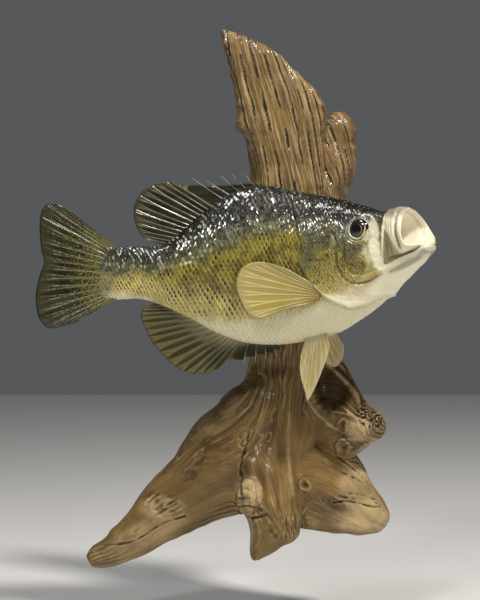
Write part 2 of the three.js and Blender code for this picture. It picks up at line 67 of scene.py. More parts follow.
# Body sections from the tail root to the cheeks: back point, belly point, half width, and how
# sharply the section closes above and below.
SECTIONS = [
    ((-182, 55), (-183, -5.5), 1.3, 1, 1),
    ((-170, 50.5), (-170, -1), 3.2, 1, 1),
    ((-158, 51), (-158, 0.2), 6.4, 1, 1),
    ((-142, 50.5), (-143, 0.5), 9, 1.05, 1),
    ((-122, 52.5), (-124, -5.5), 12, 1.15, 1.05),
    ((-95.5, 74.9), (-97, -18.3), 16.5, 1.35, 1.15),
    ((-69, 95.9), (-72, -32), 21.5, 1.45, 1.15),
    ((-42, 108), (-44, -41.2), 25, 1.45, 1.05),
    ((-12, 107), (-12, -42.8), 27, 1.35, 0.95),
    ((14, 100.6), (16, -38.8), 27.5, 1.25, 0.85),
    ((38, 95.8), (41, -31.8), 26.5, 1.12, 0.82),
    ((57, 90), (61, -19.4), 24, 1, 0.85),
    ((72, 84.8), (79, -5.6), 20.5, 0.9, 0.9),
    ((84, 81.4), (96, 12.4), 20, 0.85, 0.95),
    ((92, 82.4), (111, 29.2), 22.5, 0.85, 0.85),
    ((98.5, 83.8), (120.6, 40.8), 24.5, 0.8, 0.8),
]
RIGHT_LIPS = [
    (103.5, 0, 85), (105, -14, 81), (106.3, -24, 71), (107, -26.5, 58),
    (110, -25, 49.5), (118.5, -18.5, 48.5), (126, 0, 53),
]
LEFT_LIPS = [
    (103.5, 0, 85), (104.8, 12, 82), (106.5, 20.5, 76), (109.5, 25.5, 68),
    (115.5, 22, 60.5), (121.5, 13, 55.6), (126, 0, 53),
]
ROWS_PER_SECTION = (8, 10, 12, 15, 21, 20, 22, 25, 24, 36, 32, 28, 26, 22, 16, 12)
RIGHT_COLUMNS = 166
LEFT_COLUMNS = 106
FINE_COLUMNS = 721  # columns of one side before they are spaced evenly
LIP = 1.8  # thickness of the lips
LIP_ROWS = 7
LINING_ROWS = 22
MOUTH_MIDDLE = np.array([112.0, 0.0, 62.0])
THROAT = {"x": 76, "z": 52, "half_width": 8, "half_height": 11}
STUB_LENGTH = 0.8  # of the closed end behind the tail's root
SKIN_DEPTH = 0.6  # the skin lies this far inside the solids, so that the scales fit over it

EYE_CENTRE = (67.3, 64.7)  # x, z
EYE_RADIUS = 9.6
EYE_DEPTH = 4.4
EYE_OFFSET = 16.4


def mix(a, b, t):
    return a + (b - a) * t


def smooth(low, high, value):
    t = np.clip((value - low) / (high - low), 0, 1)
    return t * t * (3 - 2 * t)


def hump(value, centre, width):
    return np.exp(-((value - centre) / width) ** 2)


def unit(vectors):
    return vectors / np.maximum(np.linalg.norm(vectors, axis=-1, keepdims=True), TINY)


def curve(points, where):
    """A centripetal curve through points (n, ..., k), read at where, from 0 to 1."""
    points = np.asarray(points, float)
    last = len(points) - 1
    place = np.clip(np.asarray(where, float), 0, 1) * last
    start = np.minimum(place.astype(int), last - 1)
    before = 2 * points[:1] - points[1:2]
    after = 2 * points[-1:] - points[-2:-1]
    padded = np.concatenate([before, points, after])
    p0, p1, p2, p3 = (padded[start + k] for k in range(4))

    def spread(a, b, fallback):
        length = np.sqrt(np.linalg.norm(b - a, axis=-1, keepdims=True))
        return np.where(length < 1e-4, fallback, length)

    d1 = spread(p1, p2, 1.0)
    d0 = spread(p0, p1, d1)
    d2 = spread(p2, p3, d1)
    leave = ((p1 - p0) / d0 - (p2 - p0) / (d0 + d1) + (p2 - p1) / d1) * d1
    arrive = ((p2 - p1) / d1 - (p3 - p1) / (d1 + d2) + (p3 - p2) / d2) * d1
    w = (place - start).reshape(place.shape + (1,) * (p1.ndim - place.ndim))
    cubic = 2 * p1 - 2 * p2 + leave + arrive
    square = -3 * p1 + 3 * p2 - 2 * leave - arrive
    return p1 + w * (leave + w * (square + w * cubic))


def bend(points):
    """Straight fish points to their place on the mount, in metres."""
    x, y, z = np.moveaxis(np.asarray(points, float)[..., :3], -1, 0)
    progress = 1 / (1 + np.exp(-(x - TURN_CENTRE) / TURN_LENGTH))
    turn = np.arctan(mix(TAIL_SWING, HEAD_TURN, progress))
    turned = TURN_LENGTH * np.logaddexp(0, (x - TURN_CENTRE) / TURN_LENGTH)
    outward = TAIL_SWING * (x - SWING_PIVOT) + (HEAD_TURN - TAIL_SWING) * turned
    return MM * np.stack([x + y * np.sin(turn), y * np.cos(turn) - outward - STANDOFF, z], -1)


def lattice(ix, iy, iz):
    """A fixed random number from 0 to 1 for each whole-number cell."""
    n = ix.astype(np.uint32) * np.uint32(374761393) + iy.astype(np.uint32) * np.uint32(668265263)
    n = n + iz.astype(np.uint32) * np.uint32(2246822519)
    n = (n ^ (n >> np.uint32(13))) * np.uint32(1274126177)
    n = n ^ (n >> np.uint32(16))
    return n / 4294967295.0


def noise(x, y, z=0.0):
    """Smooth noise from -1 to 1, one cell to each unit."""
    x, y, z = np.broadcast_arrays(np.asarray(x, float), np.asarray(y, float), np.asarray(z, float))
    cells = [np.floor(v).astype(np.int64) for v in (x, y, z)]
    parts = [v - c for v, c in zip((x, y, z), cells)]
    fx, fy, fz = (f * f * (3 - 2 * f) for f in parts)
    total = 0
    for dx in (0, 1):
        for dy in (0, 1):
            for dz in (0, 1):
                weight = (fx if dx else 1 - fx) * (fy if dy else 1 - fy) * (fz if dz else 1 - fz)
                total = total + weight * lattice(cells[0] + dx, cells[1] + dy, cells[2] + dz)
    return 2 * total - 1


def line_distance(line, x, z, points=48):
    """Distance in the side view from each (x, z) to a smooth line."""
    fine = curve(np.array(line, float), np.linspace(0, 1, points))
    nearest = np.full(x.shape, np.inf)
    for a, b in zip(fine[:-1], fine[1:]):
        step = b - a
        t = np.clip(((x - a[0]) * step[0] + (z - a[1]) * step[1]) / max(step @ step, TINY), 0, 1)
        nearest = np.minimum(nearest, np.hypot(x - a[0] - t * step[0], z - a[1] - t * step[1]))
    return nearest


def inside(outline, x, z):
    """Whether each (x, z) lies in a side-view outline."""
    within = np.zeros(x.shape, bool)
    for (ax, az), (bx, bz) in zip(outline, outline[1:] + outline[:1]):
        crosses = (az > z) != (bz > z)
        reach = ax + (z - az) / (bz - az if bz != az else TINY) * (bx - ax)
        within ^= crosses & (x < reach)
    return within


def half_body(lips, columns, side):
    """One side of the straight body, tail root to lips, each row spaced evenly from back to belly.

    The fourth number of each point is how far it is round that side, from 0 at the back to 1.
    """
    around = np.linspace(0, 1, FINE_COLUMNS)
    angle = math.pi / 2 - side * math.pi * around
    up = np.sin(angle)
    swing = np.abs(np.cos(angle))
    swing[[0, -1]] = 0
    height = (up + 1) / 2
    rings = []
    for back, belly, half, ridge, keel in SECTIONS:
        width = side * half * swing ** np.where(up > 0, ridge, keel)
        rings.append([mix(belly[0], back[0], height), width, mix(belly[1], back[1], height), around])
    rings = np.moveaxis(np.array(rings), 1, -1)
    lip_ring = np.concatenate([curve(lips, around), around[:, None]], axis=1)
    for ring, gap in ((rings[-1], 3), (rings[-2], 8)):
        ring[:, 0] = -np.logaddexp(-ring[:, 0], gap - lip_ring[:, 0])
    stations = np.concatenate([rings, lip_ring[None]])
    places = [0.0]
    for k, count in enumerate(ROWS_PER_SECTION):
        places += [(k + (i + 1) / count) / len(SECTIONS) for i in range(count)]
    rows = curve(stations, np.array(places))
    even = np.empty((len(rows), columns, 4))
    for i, row in enumerate(rows):
        steps = np.linalg.norm(np.diff(row[:, :3], axis=0), axis=1)
        length = np.concatenate([[0], np.cumsum(steps)])
        at = np.linspace(0, length[-1], columns)
        for k in range(4):
            even[i, :, k] = np.interp(at, length, row[:, k])
    return even


RIGHT_BODY = half_body(RIGHT_LIPS, RIGHT_COLUMNS, -1)
LEFT_BODY = half_body(LEFT_LIPS, LEFT_COLUMNS, 1)


def whole_body():
    """Both sides as one grid: down the right from the back, then up the left to the back again."""
    return np.concatenate([RIGHT_BODY, LEFT_BODY[:, -2::-1]], axis=1)


def outward_normals(grid):
    along = np.gradient(grid[..., :3], axis=0)
    across = np.gradient(grid[..., :3], axis=1)
    normals = unit(-np.cross(along, across))
    seam = unit(normals[:, :1] + normals[:, -1:])
    normals[:, :1] = seam
    normals[:, -1:] = seam
    return normals


# ------------------------------------------------------------------ relief of the skin

GILL_EDGE = [
    (-6, 118), (-1.5, 103.8), (10, 66), (16.4, 48.3), (12.4, 39), (13.5, 33.4), (17.8, 26.9),
    (27.8, 13), (40, 1.8), (51.7, -4.2), (59.7, -7.4), (74.1, -3.1), (84, 3.5), (100, 8),
]
CHEEK_EDGE = [
    (45, 62.5), (49.4, 52), (50.5, 38.7), (53, 26.5), (61.7, 16.4), (72.6, 15.5), (84, 22),
]
INNER_CHEEK_EDGE = [(55, 56), (56.5, 46), (58, 34), (63, 25), (72, 23), (83, 28)]
HEAD_AREA = GILL_EDGE + [(160, 8), (160, 140), (-6, 140)]
MAXILLA_REAR = [(88.6, 81), (90.4, 75.5), (92.4, 68), (94.8, 60.5), (99.4, 50.6), (104.6, 42)]
MAXILLA_FRONT = [(101.8, 85), (101.4, 77), (101.6, 68), (102.6, 59), (104.4, 51), (106.4, 44)]
MAXILLA_AREA = MAXILLA_REAR + MAXILLA_FRONT[::-1]
MEMBRANE_AREA = [
    (90.4, 66), (94.6, 60), (99, 50.5), (103.4, 43), (104.2, 42.3), (113.8, 46), (121, 49.6),
    (119.5, 46.6), (113.5, 42.6), (103.9, 37.8), (95, 33), (90.3, 31.4), (89.8, 50), (90.4, 66),
]
MEMBRANE_EDGE = [(90.2, 66), (89.6, 52), (90.2, 38), (90.6, 31)]
JAW_RIDGE = [(88, 27), (93.1, 29.6), (103.6, 34.6), (114.7, 41.2), (122.6, 48)]
JAW_GROOVE = [(97, 39.4), (104.5, 40.8), (112, 44.4), (119, 48)]
JAW_UNDERCUT = [(95, 26), (104, 31.5), (114, 37.6), (121, 44.5)]
NOSTRILS = [(85.6, 76.4, 1.1), (80.5, 78.2, 0.8)]
WATTLE = (89, 3.2)


def eye_place(x, z):
    """Distance from the eye's middle in its narrowed opening, direction, and how far toward the snout."""
    dx, dz = x - EYE_CENTRE[0], z - EYE_CENTRE[1]
    snout = smooth(0, 7, dx)
    return np.hypot(dx * mix(1.3, 1.48, snout), dz * 1.14), np.arctan2(dz, dx), snout


def relief(x, y, z, lips_away):
    """How far the skin stands out, in millimetres, at straight points of the outside."""
    gill = gill_distance(x, z)
    open_part = smooth(72, 50, z)
    out = 0.8 * smooth(-0.6, 0.8, gill)
    out += open_part * (smooth(-0.5, 0.6, gill) * smooth(9, 1.5, gill) - 1.1 * hump(gill, -1.2, 0.9))
    cheek = line_distance(CHEEK_EDGE, x, z)
    out += 0.45 * hump(cheek, 2.6, 1.3) - 0.75 * hump(cheek, 0, 1.0)
    inner = line_distance(INNER_CHEEK_EDGE, x, z)
    out += 0.35 * hump(inner, 2.4, 1.2) - 0.45 * hump(inner, 0, 1.1)
    eye, turn, snout = eye_place(x, z)
    lower = smooth(0.6, -0.6, np.sin(turn))
    out -= 2.6 * smooth(9.2, 8.0, eye)
    out += (1.0 + 0.25 * noise(turn * 2.2, 0, 3) + 1.9 * snout) * hump(eye, 9.9, mix(1.0, 1.5, snout))
    out -= 0.5 * hump(eye, 11.5, 0.6) * mix(0.5, 1, lower)
    out += (0.6 + 0.25 * noise(turn * 3, 5, 1)) * hump(eye, 12.7, 0.8)
    out -= 0.4 * hump(eye, 14.1, 0.6) * lower
    rear = line_distance(MAXILLA_REAR, x, z)
    front = line_distance(MAXILLA_FRONT, x, z)
    across = rear / np.maximum(rear + front, TINY)
    plate = inside(MAXILLA_AREA, x, z) * np.minimum(smooth(0, 1.1, rear), smooth(0, 1.2, front))
    out += plate * (0.9 + 0.5 * np.abs(np.sin(math.pi * (3.5 * across + 0.3 * noise(z / 9, 0, 6)))))
    out -= 1.0 * hump(front, 0, 1.1) * smooth(47, 53, z) * smooth(1.4, 3.0, lips_away)
    out -= 0.8 * hump(rear, 0, 0.8) * (x > 86)
    edge = line_distance(MEMBRANE_EDGE, x, z)
    outline = line_distance(MEMBRANE_AREA, x, z)
    out += 0.5 * hump(edge, 0, 0.8) - 1.1 * inside(MEMBRANE_AREA, x, z) * smooth(0, 1.8, outline)
    ridge = line_distance(JAW_RIDGE, x, z)
    groove = line_distance(JAW_GROOVE, x, z)
    under = line_distance(JAW_UNDERCUT, x, z)
    out += 1.4 * hump(ridge, 0, 1.4) - 0.9 * hump(groove, 0, 1.2) - 0.7 * hump(under, 0, 1.7)
    for nx, nz, radius in NOSTRILS:
        hole = np.hypot(x - nx, z - nz)
        out += 0.35 * hump(hole, radius * 1.7, 0.5) - 1.5 * smooth(radius, radius * 0.5, hole)
    out += 0.6 * hump(lips_away, 1.8, 1.2)
    wattle = np.hypot((x - WATTLE[0]) / 1.2, z - WATTLE[1])
    out += np.where(y <= 0, 0, 3.2 * smooth(4.2, 0, wattle))
    head = smooth(-2, 6, gill) * smooth(3, 9, lips_away)
    out += head * (0.14 * noise(x * 0.5, z * 0.5, 3) + 0.3 * noise(x / 7, z / 7, 8))
    return out


def gill_distance(x, z):
    """Distance in the side view from the rear edge of the head, positive on the head."""
    gap = line_distance(GILL_EDGE, x, z)
    return np.where(inside(HEAD_AREA, x, z), gap, -gap)


# Side-view heights where one colour of the flank gives way to the next.
BELLY_LINE = [
    (-170, 6), (-154, 4.7), (-139, 1.5), (-124, -4.7), (-107, -12), (-93, -16), (-73, -19),
    (-51, -19.5), (-30, -17), (5, -11), (28, -6), (48, 4), (62, 12), (80, 16), (95, 24), (130, 30),
]
FLANK_LINE = [
    (-170, 27), (-154, 28), (-130, 27), (-109, 35), (-88, 42), (-68, 47), (-52, 55), (-30, 63),
    (6, 67), (30, 64), (60, 58), (130, 60),
]
LATERAL_LINE = [
    (-180, 21), (-145, 22.6), (-135, 25.4), (-116.7, 29.9), (-98.7, 35.7), (-81.9, 44.8), (-63.9, 54.3),
    (-40.2, 62.7), (-14.4, 69.2), (12.2, 72.6), (37.3, 72.3),
]
BACK_LINE = [
    (-170, 40), (-154, 42), (-134, 40), (-119, 40), (-106, 50), (-92, 58), (-72, 69), (-57, 75),
    (-35, 80), (-13, 79.5), (11, 77), (40, 74), (60, 75), (75, 76), (90, 79), (130, 84),
]


def height_at(line, x):
    places = np.array(line, float)
    return np.interp(x, places[:, 0], places[:, 1])


# Patches of the head: x, z, half length, half height, tilt in degrees, strength. Most are airbrushed colours;
# the dark list also holds painted shade along and under the lower jaw.
IVORY = [
    (83.4, 45, 6, 14, 10, 1), (87, 33, 5.4, 8, 20, 0.95), (77, 42, 4, 9, 14, 0.45), (97, 62, 7, 24, -14, 1),
    (104, 80, 7, 7, 0, 1), (112, 38, 17, 11, 34, 1), (60, -7, 34, 6, 4, 1), (94, 14, 22, 10, 30, 1),
    (76, 58, 4, 5, 0, 0.6), (47, -1, 14, 3.5, -28, 0.8), (81, 64, 4.5, 11, 20, 0.75),
]
GOLD = [
    (49, 42, 5, 18, 4, 0.55), (60, 20, 12, 6, -35, 0.9), (75, 20, 14, 6.5, 14, 0.9), (74, 34, 8, 12, 0, 0.7),
    (20, 14, 8, 9, 0, 0.6), (40, 24, 16, 12, -40, 0.55), (34, 12, 12, 6, -36, 0.8),
]
PEACH = [(79, 18, 11, 3, 16, 0.5), (88, 24, 6, 2.6, 30, 0.5), (62, 8, 16, 4, -10, 0.35)]
SLATE = [
    (36, 62, 26, 14, -6, 0.9), (67, 44, 13, 9, -6, 0.75), (22, 40, 12, 14, 0, 0.6),
    (80, 66, 5, 12, 16, 0.5), (52, 54, 8, 12, 0, 0.6),
]
BROWN = [
    (38, 69, 6, 5.6, 0, 1), (50, 40, 1.6, 15, 3, 0.75), (54, 27, 1.6, 8, 28, 0.7), (62, 18, 7, 1.6, -28, 0.6),
    (76, 17, 9, 1.3, 12, 0.6), (57.5, 38, 1.5, 12, 4, 0.6), (67, 30, 9, 7, 0, 0.55), (80, 77, 12, 4, -6, 0.7),
]
# Dark marks of the head, and painted shade: the strokes along and under the lower jaw are painted shade, the
# rest dark marks.
DARK_MARKS_AND_SHADE = [
    (108, 33, 13, 2.6, 34, 0.55), (109, 42.2, 9, 1.3, 28, 0.6), (98, 38, 6, 1.6, 18, 0.5),
    (93.6, 47, 1.0, 11, 5, 0.4), (97.2, 45, 0.9, 7, 10, 0.4), (87.6, 50, 1.0, 12, 4, 0.35),
    (22, 21.5, 10, 1.9, -50, 0.85), (55, 92, 60, 10, -14, 0.75), (86, 76.2, 1.6, 1.4, 0, 1),
    (68, 77, 9, 2.2, 0, 0.6), (45, 78, 40, 8, -10, 0.35),
]


def patches(strokes, x, z):
    total = np.zeros(x.shape)
    for cx, cz, rx, rz, tilt, strength in strokes:
        c, s = math.cos(math.radians(tilt)), math.sin(math.radians(tilt))
        u = ((x - cx) * c + (z - cz) * s) / rx
        v = (-(x - cx) * s + (z - cz) * c) / rz
        total = np.maximum(total, strength * smooth(1.25, 0.7, np.hypot(u, v)))
    return total


def markings(x, z):
    """The masks that colour skin and scales alike, at straight points."""
    gill = gill_distance(x, z)
    head = smooth(-1, 3, gill)
    groove = line_distance(JAW_GROOVE, x, z)
    crease = line_distance(MAXILLA_FRONT, x, z)
    rear = line_distance(MAXILLA_REAR, x, z)
    cheek = line_distance(CHEEK_EDGE, x, z)
    edge = line_distance(MEMBRANE_EDGE, x, z)
    outline = line_distance(MEMBRANE_AREA, x, z)
    under = line_distance(JAW_UNDERCUT, x, z)
    eye = eye_place(x, z)[0]
    front = smooth(-8, 9, x - EYE_CENTRE[0])
    # Painted shade in the creases behind the gill cover, along the jaws, maxilla and cheek and round the eye
    # socket, with the head's dark marks.
    dark = np.maximum.reduce([
        hump(gill, -1.2, 0.8) * smooth(62, 48, z) * smooth(2, 12, z),
        0.6 * hump(under, 0, 1.7),
        0.55 * hump(groove, 0, 0.9),
        0.9 * hump(crease, 0, 0.75) * smooth(44, 48, z),
        0.5 * hump(rear, 0, 0.7) * (x > 86),
        0.5 * hump(cheek, 0, 0.9),
        0.7 * hump(eye, 11.5, 0.7),
        0.9 * hump(eye, 8.2, 0.6),
        patches(DARK_MARKS_AND_SHADE, x, z) * head,
    ])
    ivory = np.maximum.reduce([
        patches(IVORY, x, z) * head,
        mix(0.55, 1, front) * smooth(8.6, 9.2, eye) * smooth(11.0, 10.4, eye),
        mix(0.25, 0.8, front) * hump(eye, 12.7, 0.8),
        head * hump(gill, 1.0, 1.0) * smooth(30, 20, z) * 0.8,
        hump(edge, 0, 0.7),
        smooth(87.3, 88.8, x + 0.6 * noise(z / 3, 0, 4)),
    ])
    return {
        "above_belly": z - height_at(BELLY_LINE, x),
        "above_flank": z - height_at(FLANK_LINE, x),
        "above_back": z - height_at(BACK_LINE, x),
        "head": head,
        "ivory": ivory,
        "gold": patches(GOLD, x, z) * head,
        "peach": patches(PEACH, x, z) * head,
        "slate": np.maximum(patches(SLATE, x, z) * head, 0.75 * smooth(-160, -178, x)),
        "brown": patches(BROWN, x, z) * head,
        "membrane": inside(MEMBRANE_AREA, x, z) * smooth(0.1, 0.9, outline),
        "dark": dark,
    }


# ------------------------------------------------------------------ making meshes

SAME_PLACE = 2e-6  # metres


def deselect():
    for thing in bpy.context.selected_objects:
        thing.select_set(False)


def use(piece):
    deselect()
    piece.select_set(True)
    bpy.context.view_layer.objects.active = piece


def in_edit_mode(piece, *steps):
    use(piece)
    bpy.ops.object.mode_set(mode="EDIT")
    bpy.ops.mesh.select_all(action="SELECT")
    for step in steps:
        step()
    bpy.ops.object.mode_set(mode="OBJECT")


def mesh_vectors(items, key):
    """Three numbers of each vertex, as rows."""
    numbers = np.empty(len(items) * 3, np.float32)
    items.foreach_get(key, numbers)
    return numbers.reshape(-1, 3).astype(float)


def mesh_points(mesh):
    return mesh_vectors(mesh.vertices, "co")


def set_points(mesh, points):
    mesh.vertices.foreach_set("co", points.reshape(-1).astype(np.float32))


def shade_smooth(mesh):
    mesh.polygons.foreach_set("use_smooth", np.ones(len(mesh.polygons), bool))
    mesh.update()


def close_seams():
    bpy.ops.mesh.remove_doubles(threshold=SAME_PLACE)
    bpy.ops.mesh.normals_make_consistent(inside=False)


def grid_piece(name, points, values, uv_name="surface"):
    """A grid laid over rows of points, in metres, with its seams and poles closed.

    values holds, by name, one number or one vector for each point.
    """
    deselect()
    rows, columns = points.shape[:2]
    bpy.ops.mesh.primitive_grid_add(x_subdivisions=columns - 1, y_subdivisions=rows - 1, size=1)
    piece = bpy.context.object
    piece.name = name
    piece.data.name = name
    set_points(piece.data, points)
    piece.data.uv_layers[0].name = uv_name
    give_values(piece, values)
    in_edit_mode(piece, close_seams)
    shade_smooth(piece.data)
    return piece


def give_values(piece, values):
    for key, numbers in values.items():
        vector = numbers.ndim > 1 and numbers.shape[-1] == 3
        layer = piece.data.attributes.new(key, "FLOAT_VECTOR" if vector else "FLOAT", "POINT")
        layer.data.foreach_set("vector" if vector else "value", numbers.reshape(-1).astype(np.float32))


def apply_modifier(piece, kind, **settings):
    use(piece)
    modifier = piece.modifiers.new(kind.title(), kind)
    for key, value in settings.items():
        setattr(modifier, key, value)
    bpy.ops.object.modifier_apply(modifier=modifier.name)


def finish_piece(piece, material, replaced=()):
    """The material, body and slot of a piece, and the CAD nodes it stands for."""
    piece.data.materials.clear()
    piece.data.materials.append(material)
    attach(piece, "root")
    if replaced:
        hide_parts(*replaced)


# ------------------------------------------------------------------ material helpers


def plug(tree, socket, value):
    """A link where value is another node's socket, and otherwise a constant."""
    if isinstance(value, bpy.types.NodeSocket):
        tree.links.new(value, socket)
    else:
        socket.default_value = value


def node(tree, kind, inputs=None, **settings):
    made = tree.nodes.new("ShaderNode" + kind)
    for key, value in settings.items():
        setattr(made, key, value)
    for key, value in (inputs or {}).items():
        plug(tree, made.inputs[key], value)
    return made


def mask(tree, name):
    """A number that the piece stores for each point."""
    return node(tree, "Attribute", attribute_name=name).outputs["Fac"]


def stored_vector(tree, name):
    return node(tree, "Attribute", attribute_name=name).outputs["Vector"]


def axes(tree, vector):
    """The X, Y and Z sockets of a vector."""
    return node(tree, "SeparateXYZ", {0: vector}).outputs


def math_node(tree, operation, a, b=0.0, c=0.0, clamp=False):
    return node(tree, "Math", {0: a, 1: b, 2: c}, operation=operation, use_clamp=clamp).outputs[0]


def times(tree, *factors):
    """The product of two or more values."""
    product, *others = factors
    for factor in others:
        product = math_node(tree, "MULTIPLY", product, factor)
    return product


def plus(tree, a, b):
    return math_node(tree, "ADD", a, b)


def minus(tree, a, b):
    return math_node(tree, "SUBTRACT", a, b)


def scaled(tree, value, factor, offset):
    """value times factor, plus offset."""
    return math_node(tree, "MULTIPLY_ADD", value, factor, offset)


def inverse(tree, value):
    """1 where value is 0, and 0 where it is 1."""
    return math_node(tree, "SUBTRACT", 1.0, value, clamp=True)


def ramp(tree, value, low, high, to_low=0.0, to_high=1.0):
    """A smooth step of value between low and high."""
    return node(tree, "MapRange", {0: value, 1: low, 2: high, 3: to_low, 4: to_high},
                interpolation_type="SMOOTHSTEP").outputs[0]


def mix_value(tree, factor, low, high):
    """low where factor is 0, high where it is 1, and in between on a straight line."""
    return node(tree, "MapRange", {0: factor, 1: 0.0, 2: 1.0, 3: low, 4: high}).outputs[0]


def blend_colour(tree, shown, a, b, how="MIX"):
    return node(tree, "Mix", {0: shown, 6: a, 7: b}, data_type="RGBA", blend_type=how,
                clamp_factor=True).outputs[2]


def painted(tree, paint, *coats):
    """A paint with coats laid over it, each given as how much of it shows and its colour."""
    for shown, coat in coats:
        paint = blend_colour(tree, shown, paint, coat)
    return paint


def toned(tree, paint, tone):
    """A paint multiplied by a colour."""
    return blend_colour(tree, 1.0, paint, tone, "MULTIPLY")


def grey(tree, value):
    return node(tree, "CombineColor", {0: value, 1: value, 2: value}).outputs[0]


def noise_at(tree, vector, scale, detail=2.0, roughness=0.5, distortion=0.0):
    return node(tree, "TexNoise", {
        "Vector": vector, "Scale": scale, "Detail": detail,
        "Roughness": roughness, "Distortion": distortion,
    }).outputs[0]


def stretched(tree, vector, scale):
    return node(tree, "Mapping", {"Vector": vector, "Scale": scale}).outputs[0]


def bumpy(tree, shader, height, distance, strength):
    bump = node(tree, "Bump", {"Height": height, "Distance": distance, "Strength": strength})
    tree.links.new(bump.outputs[0], shader.inputs["Normal"])


def new_material(name, **constants):
    material = bpy.data.materials.new(name)
    material.use_nodes = True
    tree = material.node_tree
    tree.nodes.clear()
    shader = node(tree, "BsdfPrincipled", constants)
    node(tree, "OutputMaterial", {0: shader.outputs[0]})
    return material, tree, shader


def new_group(name, inputs, outputs):
    tree = bpy.data.node_groups.new(name, "ShaderNodeTree")
    for label, kind in inputs:
        tree.interface.new_socket(label, in_out="INPUT", socket_type=kind)
    for label, kind in outputs:
        tree.interface.new_socket(label, in_out="OUTPUT", socket_type=kind)
    return tree, tree.nodes.new("NodeGroupInput").outputs, tree.nodes.new("NodeGroupOutput").inputs


def colour(values):
    return (*values, 1.0)


FLOAT = "NodeSocketFloat"
COLOUR = "NodeSocketColor"
MARKING_TINTS = (
    "back", "upper_flank", "flank", "lower_flank", "belly", "ivory", "gold", "peach", "slate", "brown",
    "membrane", "mottle",
)
MUZZLE = (88.0, 83.0)  # x over which the blots of the head fade out toward the mouth


def label(name):
    return name.replace("_", " ").capitalize()


def markings_group():
    """Colours of the flank, back, belly and head, the same on the skin and on the scales."""
    found = bpy.data.node_groups.get("fish_markings")
    if found:
        return found
    tree, given, out = new_group(
        "fish_markings", [(label(name), COLOUR) for name in MARKING_TINTS],
        [("Colour", COLOUR), ("Fleck", FLOAT), ("Silver", FLOAT)],
    )
    given = dict(zip(MARKING_TINTS, given))
    place = stored_vector(tree, "lie")
    wander = noise_at(tree, place, 0.09, 3)
    fine = noise_at(tree, place, 0.55, 2)
    shift = plus(tree, scaled(tree, wander, 18.0, -9.0), scaled(tree, fine, 9.0, -4.5))

    def band(name, low, high):
        return ramp(tree, plus(tree, mask(tree, name), shift), low, high)

    over_belly = band("above_belly", -6.0, 6.0)
    over_low = band("above_belly", 8.0, 34.0)
    over_flank = band("above_flank", -10.0, 9.0)
    over_back = band("above_back", -10.0, 4.0)
    clouds = ramp(tree, noise_at(tree, place, 0.085, 3, 0.6), 0.47, 0.6)
    specks = noise_at(tree, stretched(tree, place, (1.0, 1.0, 0.6)), 0.33, 3, 0.7)
    paint = painted(
        tree, given["belly"],
        (over_belly, given["lower_flank"]),
        (over_low, given["flank"]),
        (times(tree, clouds, over_low, 0.72), given["brown"]),
        (over_flank, given["upper_flank"]),
        (times(tree, ramp(tree, specks, 0.5, 0.62), over_flank, 0.75), given["back"]),
        (over_back, given["back"]),
    )
    ragged = scaled(tree, fine, 0.8, 0.6)
    for name in ("slate", "gold", "peach", "brown", "ivory", "membrane"):
        shown = math_node(tree, "MULTIPLY", mask(tree, name), ragged, clamp=True)
        paint = painted(tree, paint, (shown, given[name]))
    bare = inverse(tree, mask(tree, "ivory"))
    blots = noise_at(tree, stretched(tree, place, (1.0, 1.0, 0.7)), 0.5, 3, 0.65)
    blots = times(
        tree, ramp(tree, blots, 0.5, 0.66), mask(tree, "head"), bare,
        ramp(tree, mask(tree, "above_belly"), 4.0, 20.0),
        ramp(tree, axes(tree, place)["X"], *MUZZLE), 0.85,
    )
    paint = painted(tree, paint, (blots, given["mottle"]))
    # Painted shade in the creases, with the head's dark marks, darkens the paint.
    paint = painted(tree, paint, (mask(tree, "dark"), toned(tree, paint, (0.1, 0.075, 0.05, 1))))
    plug(tree, out["Colour"], paint)
    patchy = ramp(tree, noise_at(tree, place, 0.06, 2), 0.42, 0.6, 0.55, 1.0)
    plug(tree, out["Fleck"], times(tree, over_belly, patchy))
    plug(tree, out["Silver"], times(tree, over_flank, bare))
    return tree


def fish_markings(tree):
    """The fish's markings placed in a material, with the colours of the settings."""
    tints = bpy.context.scene.crappie_colours
    given = {label(name): colour(getattr(tints, name)) for name in MARKING_TINTS}
    return node(tree, "Group", given, node_tree=markings_group()).outputs


def skin_material():
    material, tree, shader = new_material("crappie_skin", **{
        "Roughness": 0.36, "Coat Weight": 0.7, "Coat Roughness": 0.09, "IOR": 1.45,
    })
    tints = bpy.context.scene.crappie_colours
    throat, ivory = colour(tints.throat), colour(tints.ivory)
    place = stored_vector(tree, "lie")
    depth = mask(tree, "mouth_depth")
    stains = ramp(tree, noise_at(tree, place, 0.12, 2), 0.4, 0.7, 0.0, 0.5)
    # Painted shade: the fold just inside the lips and the deep throat take the throat's darker colour.
    fold = times(tree, ramp(tree, depth, 0.02, 0.06), ramp(tree, depth, 0.14, 0.08), 0.45)
    lining = painted(
        tree, colour(tints.mouth), (ramp(tree, depth, 0.75, 1.0), throat), (stains, ivory), (fold, throat),
    )
    group = fish_markings(tree)
    plug(tree, shader.inputs["Base Color"], painted(tree, group["Colour"], (mask(tree, "mouth"), lining)))
    rough = times(tree, mask(tree, "head"), inverse(tree, mask(tree, "ivory")), 4.0)
    height = scaled(tree, noise_at(tree, place, 0.5, 2), rough, noise_at(tree, place, 1.5, 3))
    bumpy(tree, shader, height, 0.0003, 0.4)
    return material


TICK_LENGTH = 6.6  # the larger, the shorter a scale's dark tick
TICK_BREADTH = 1.6


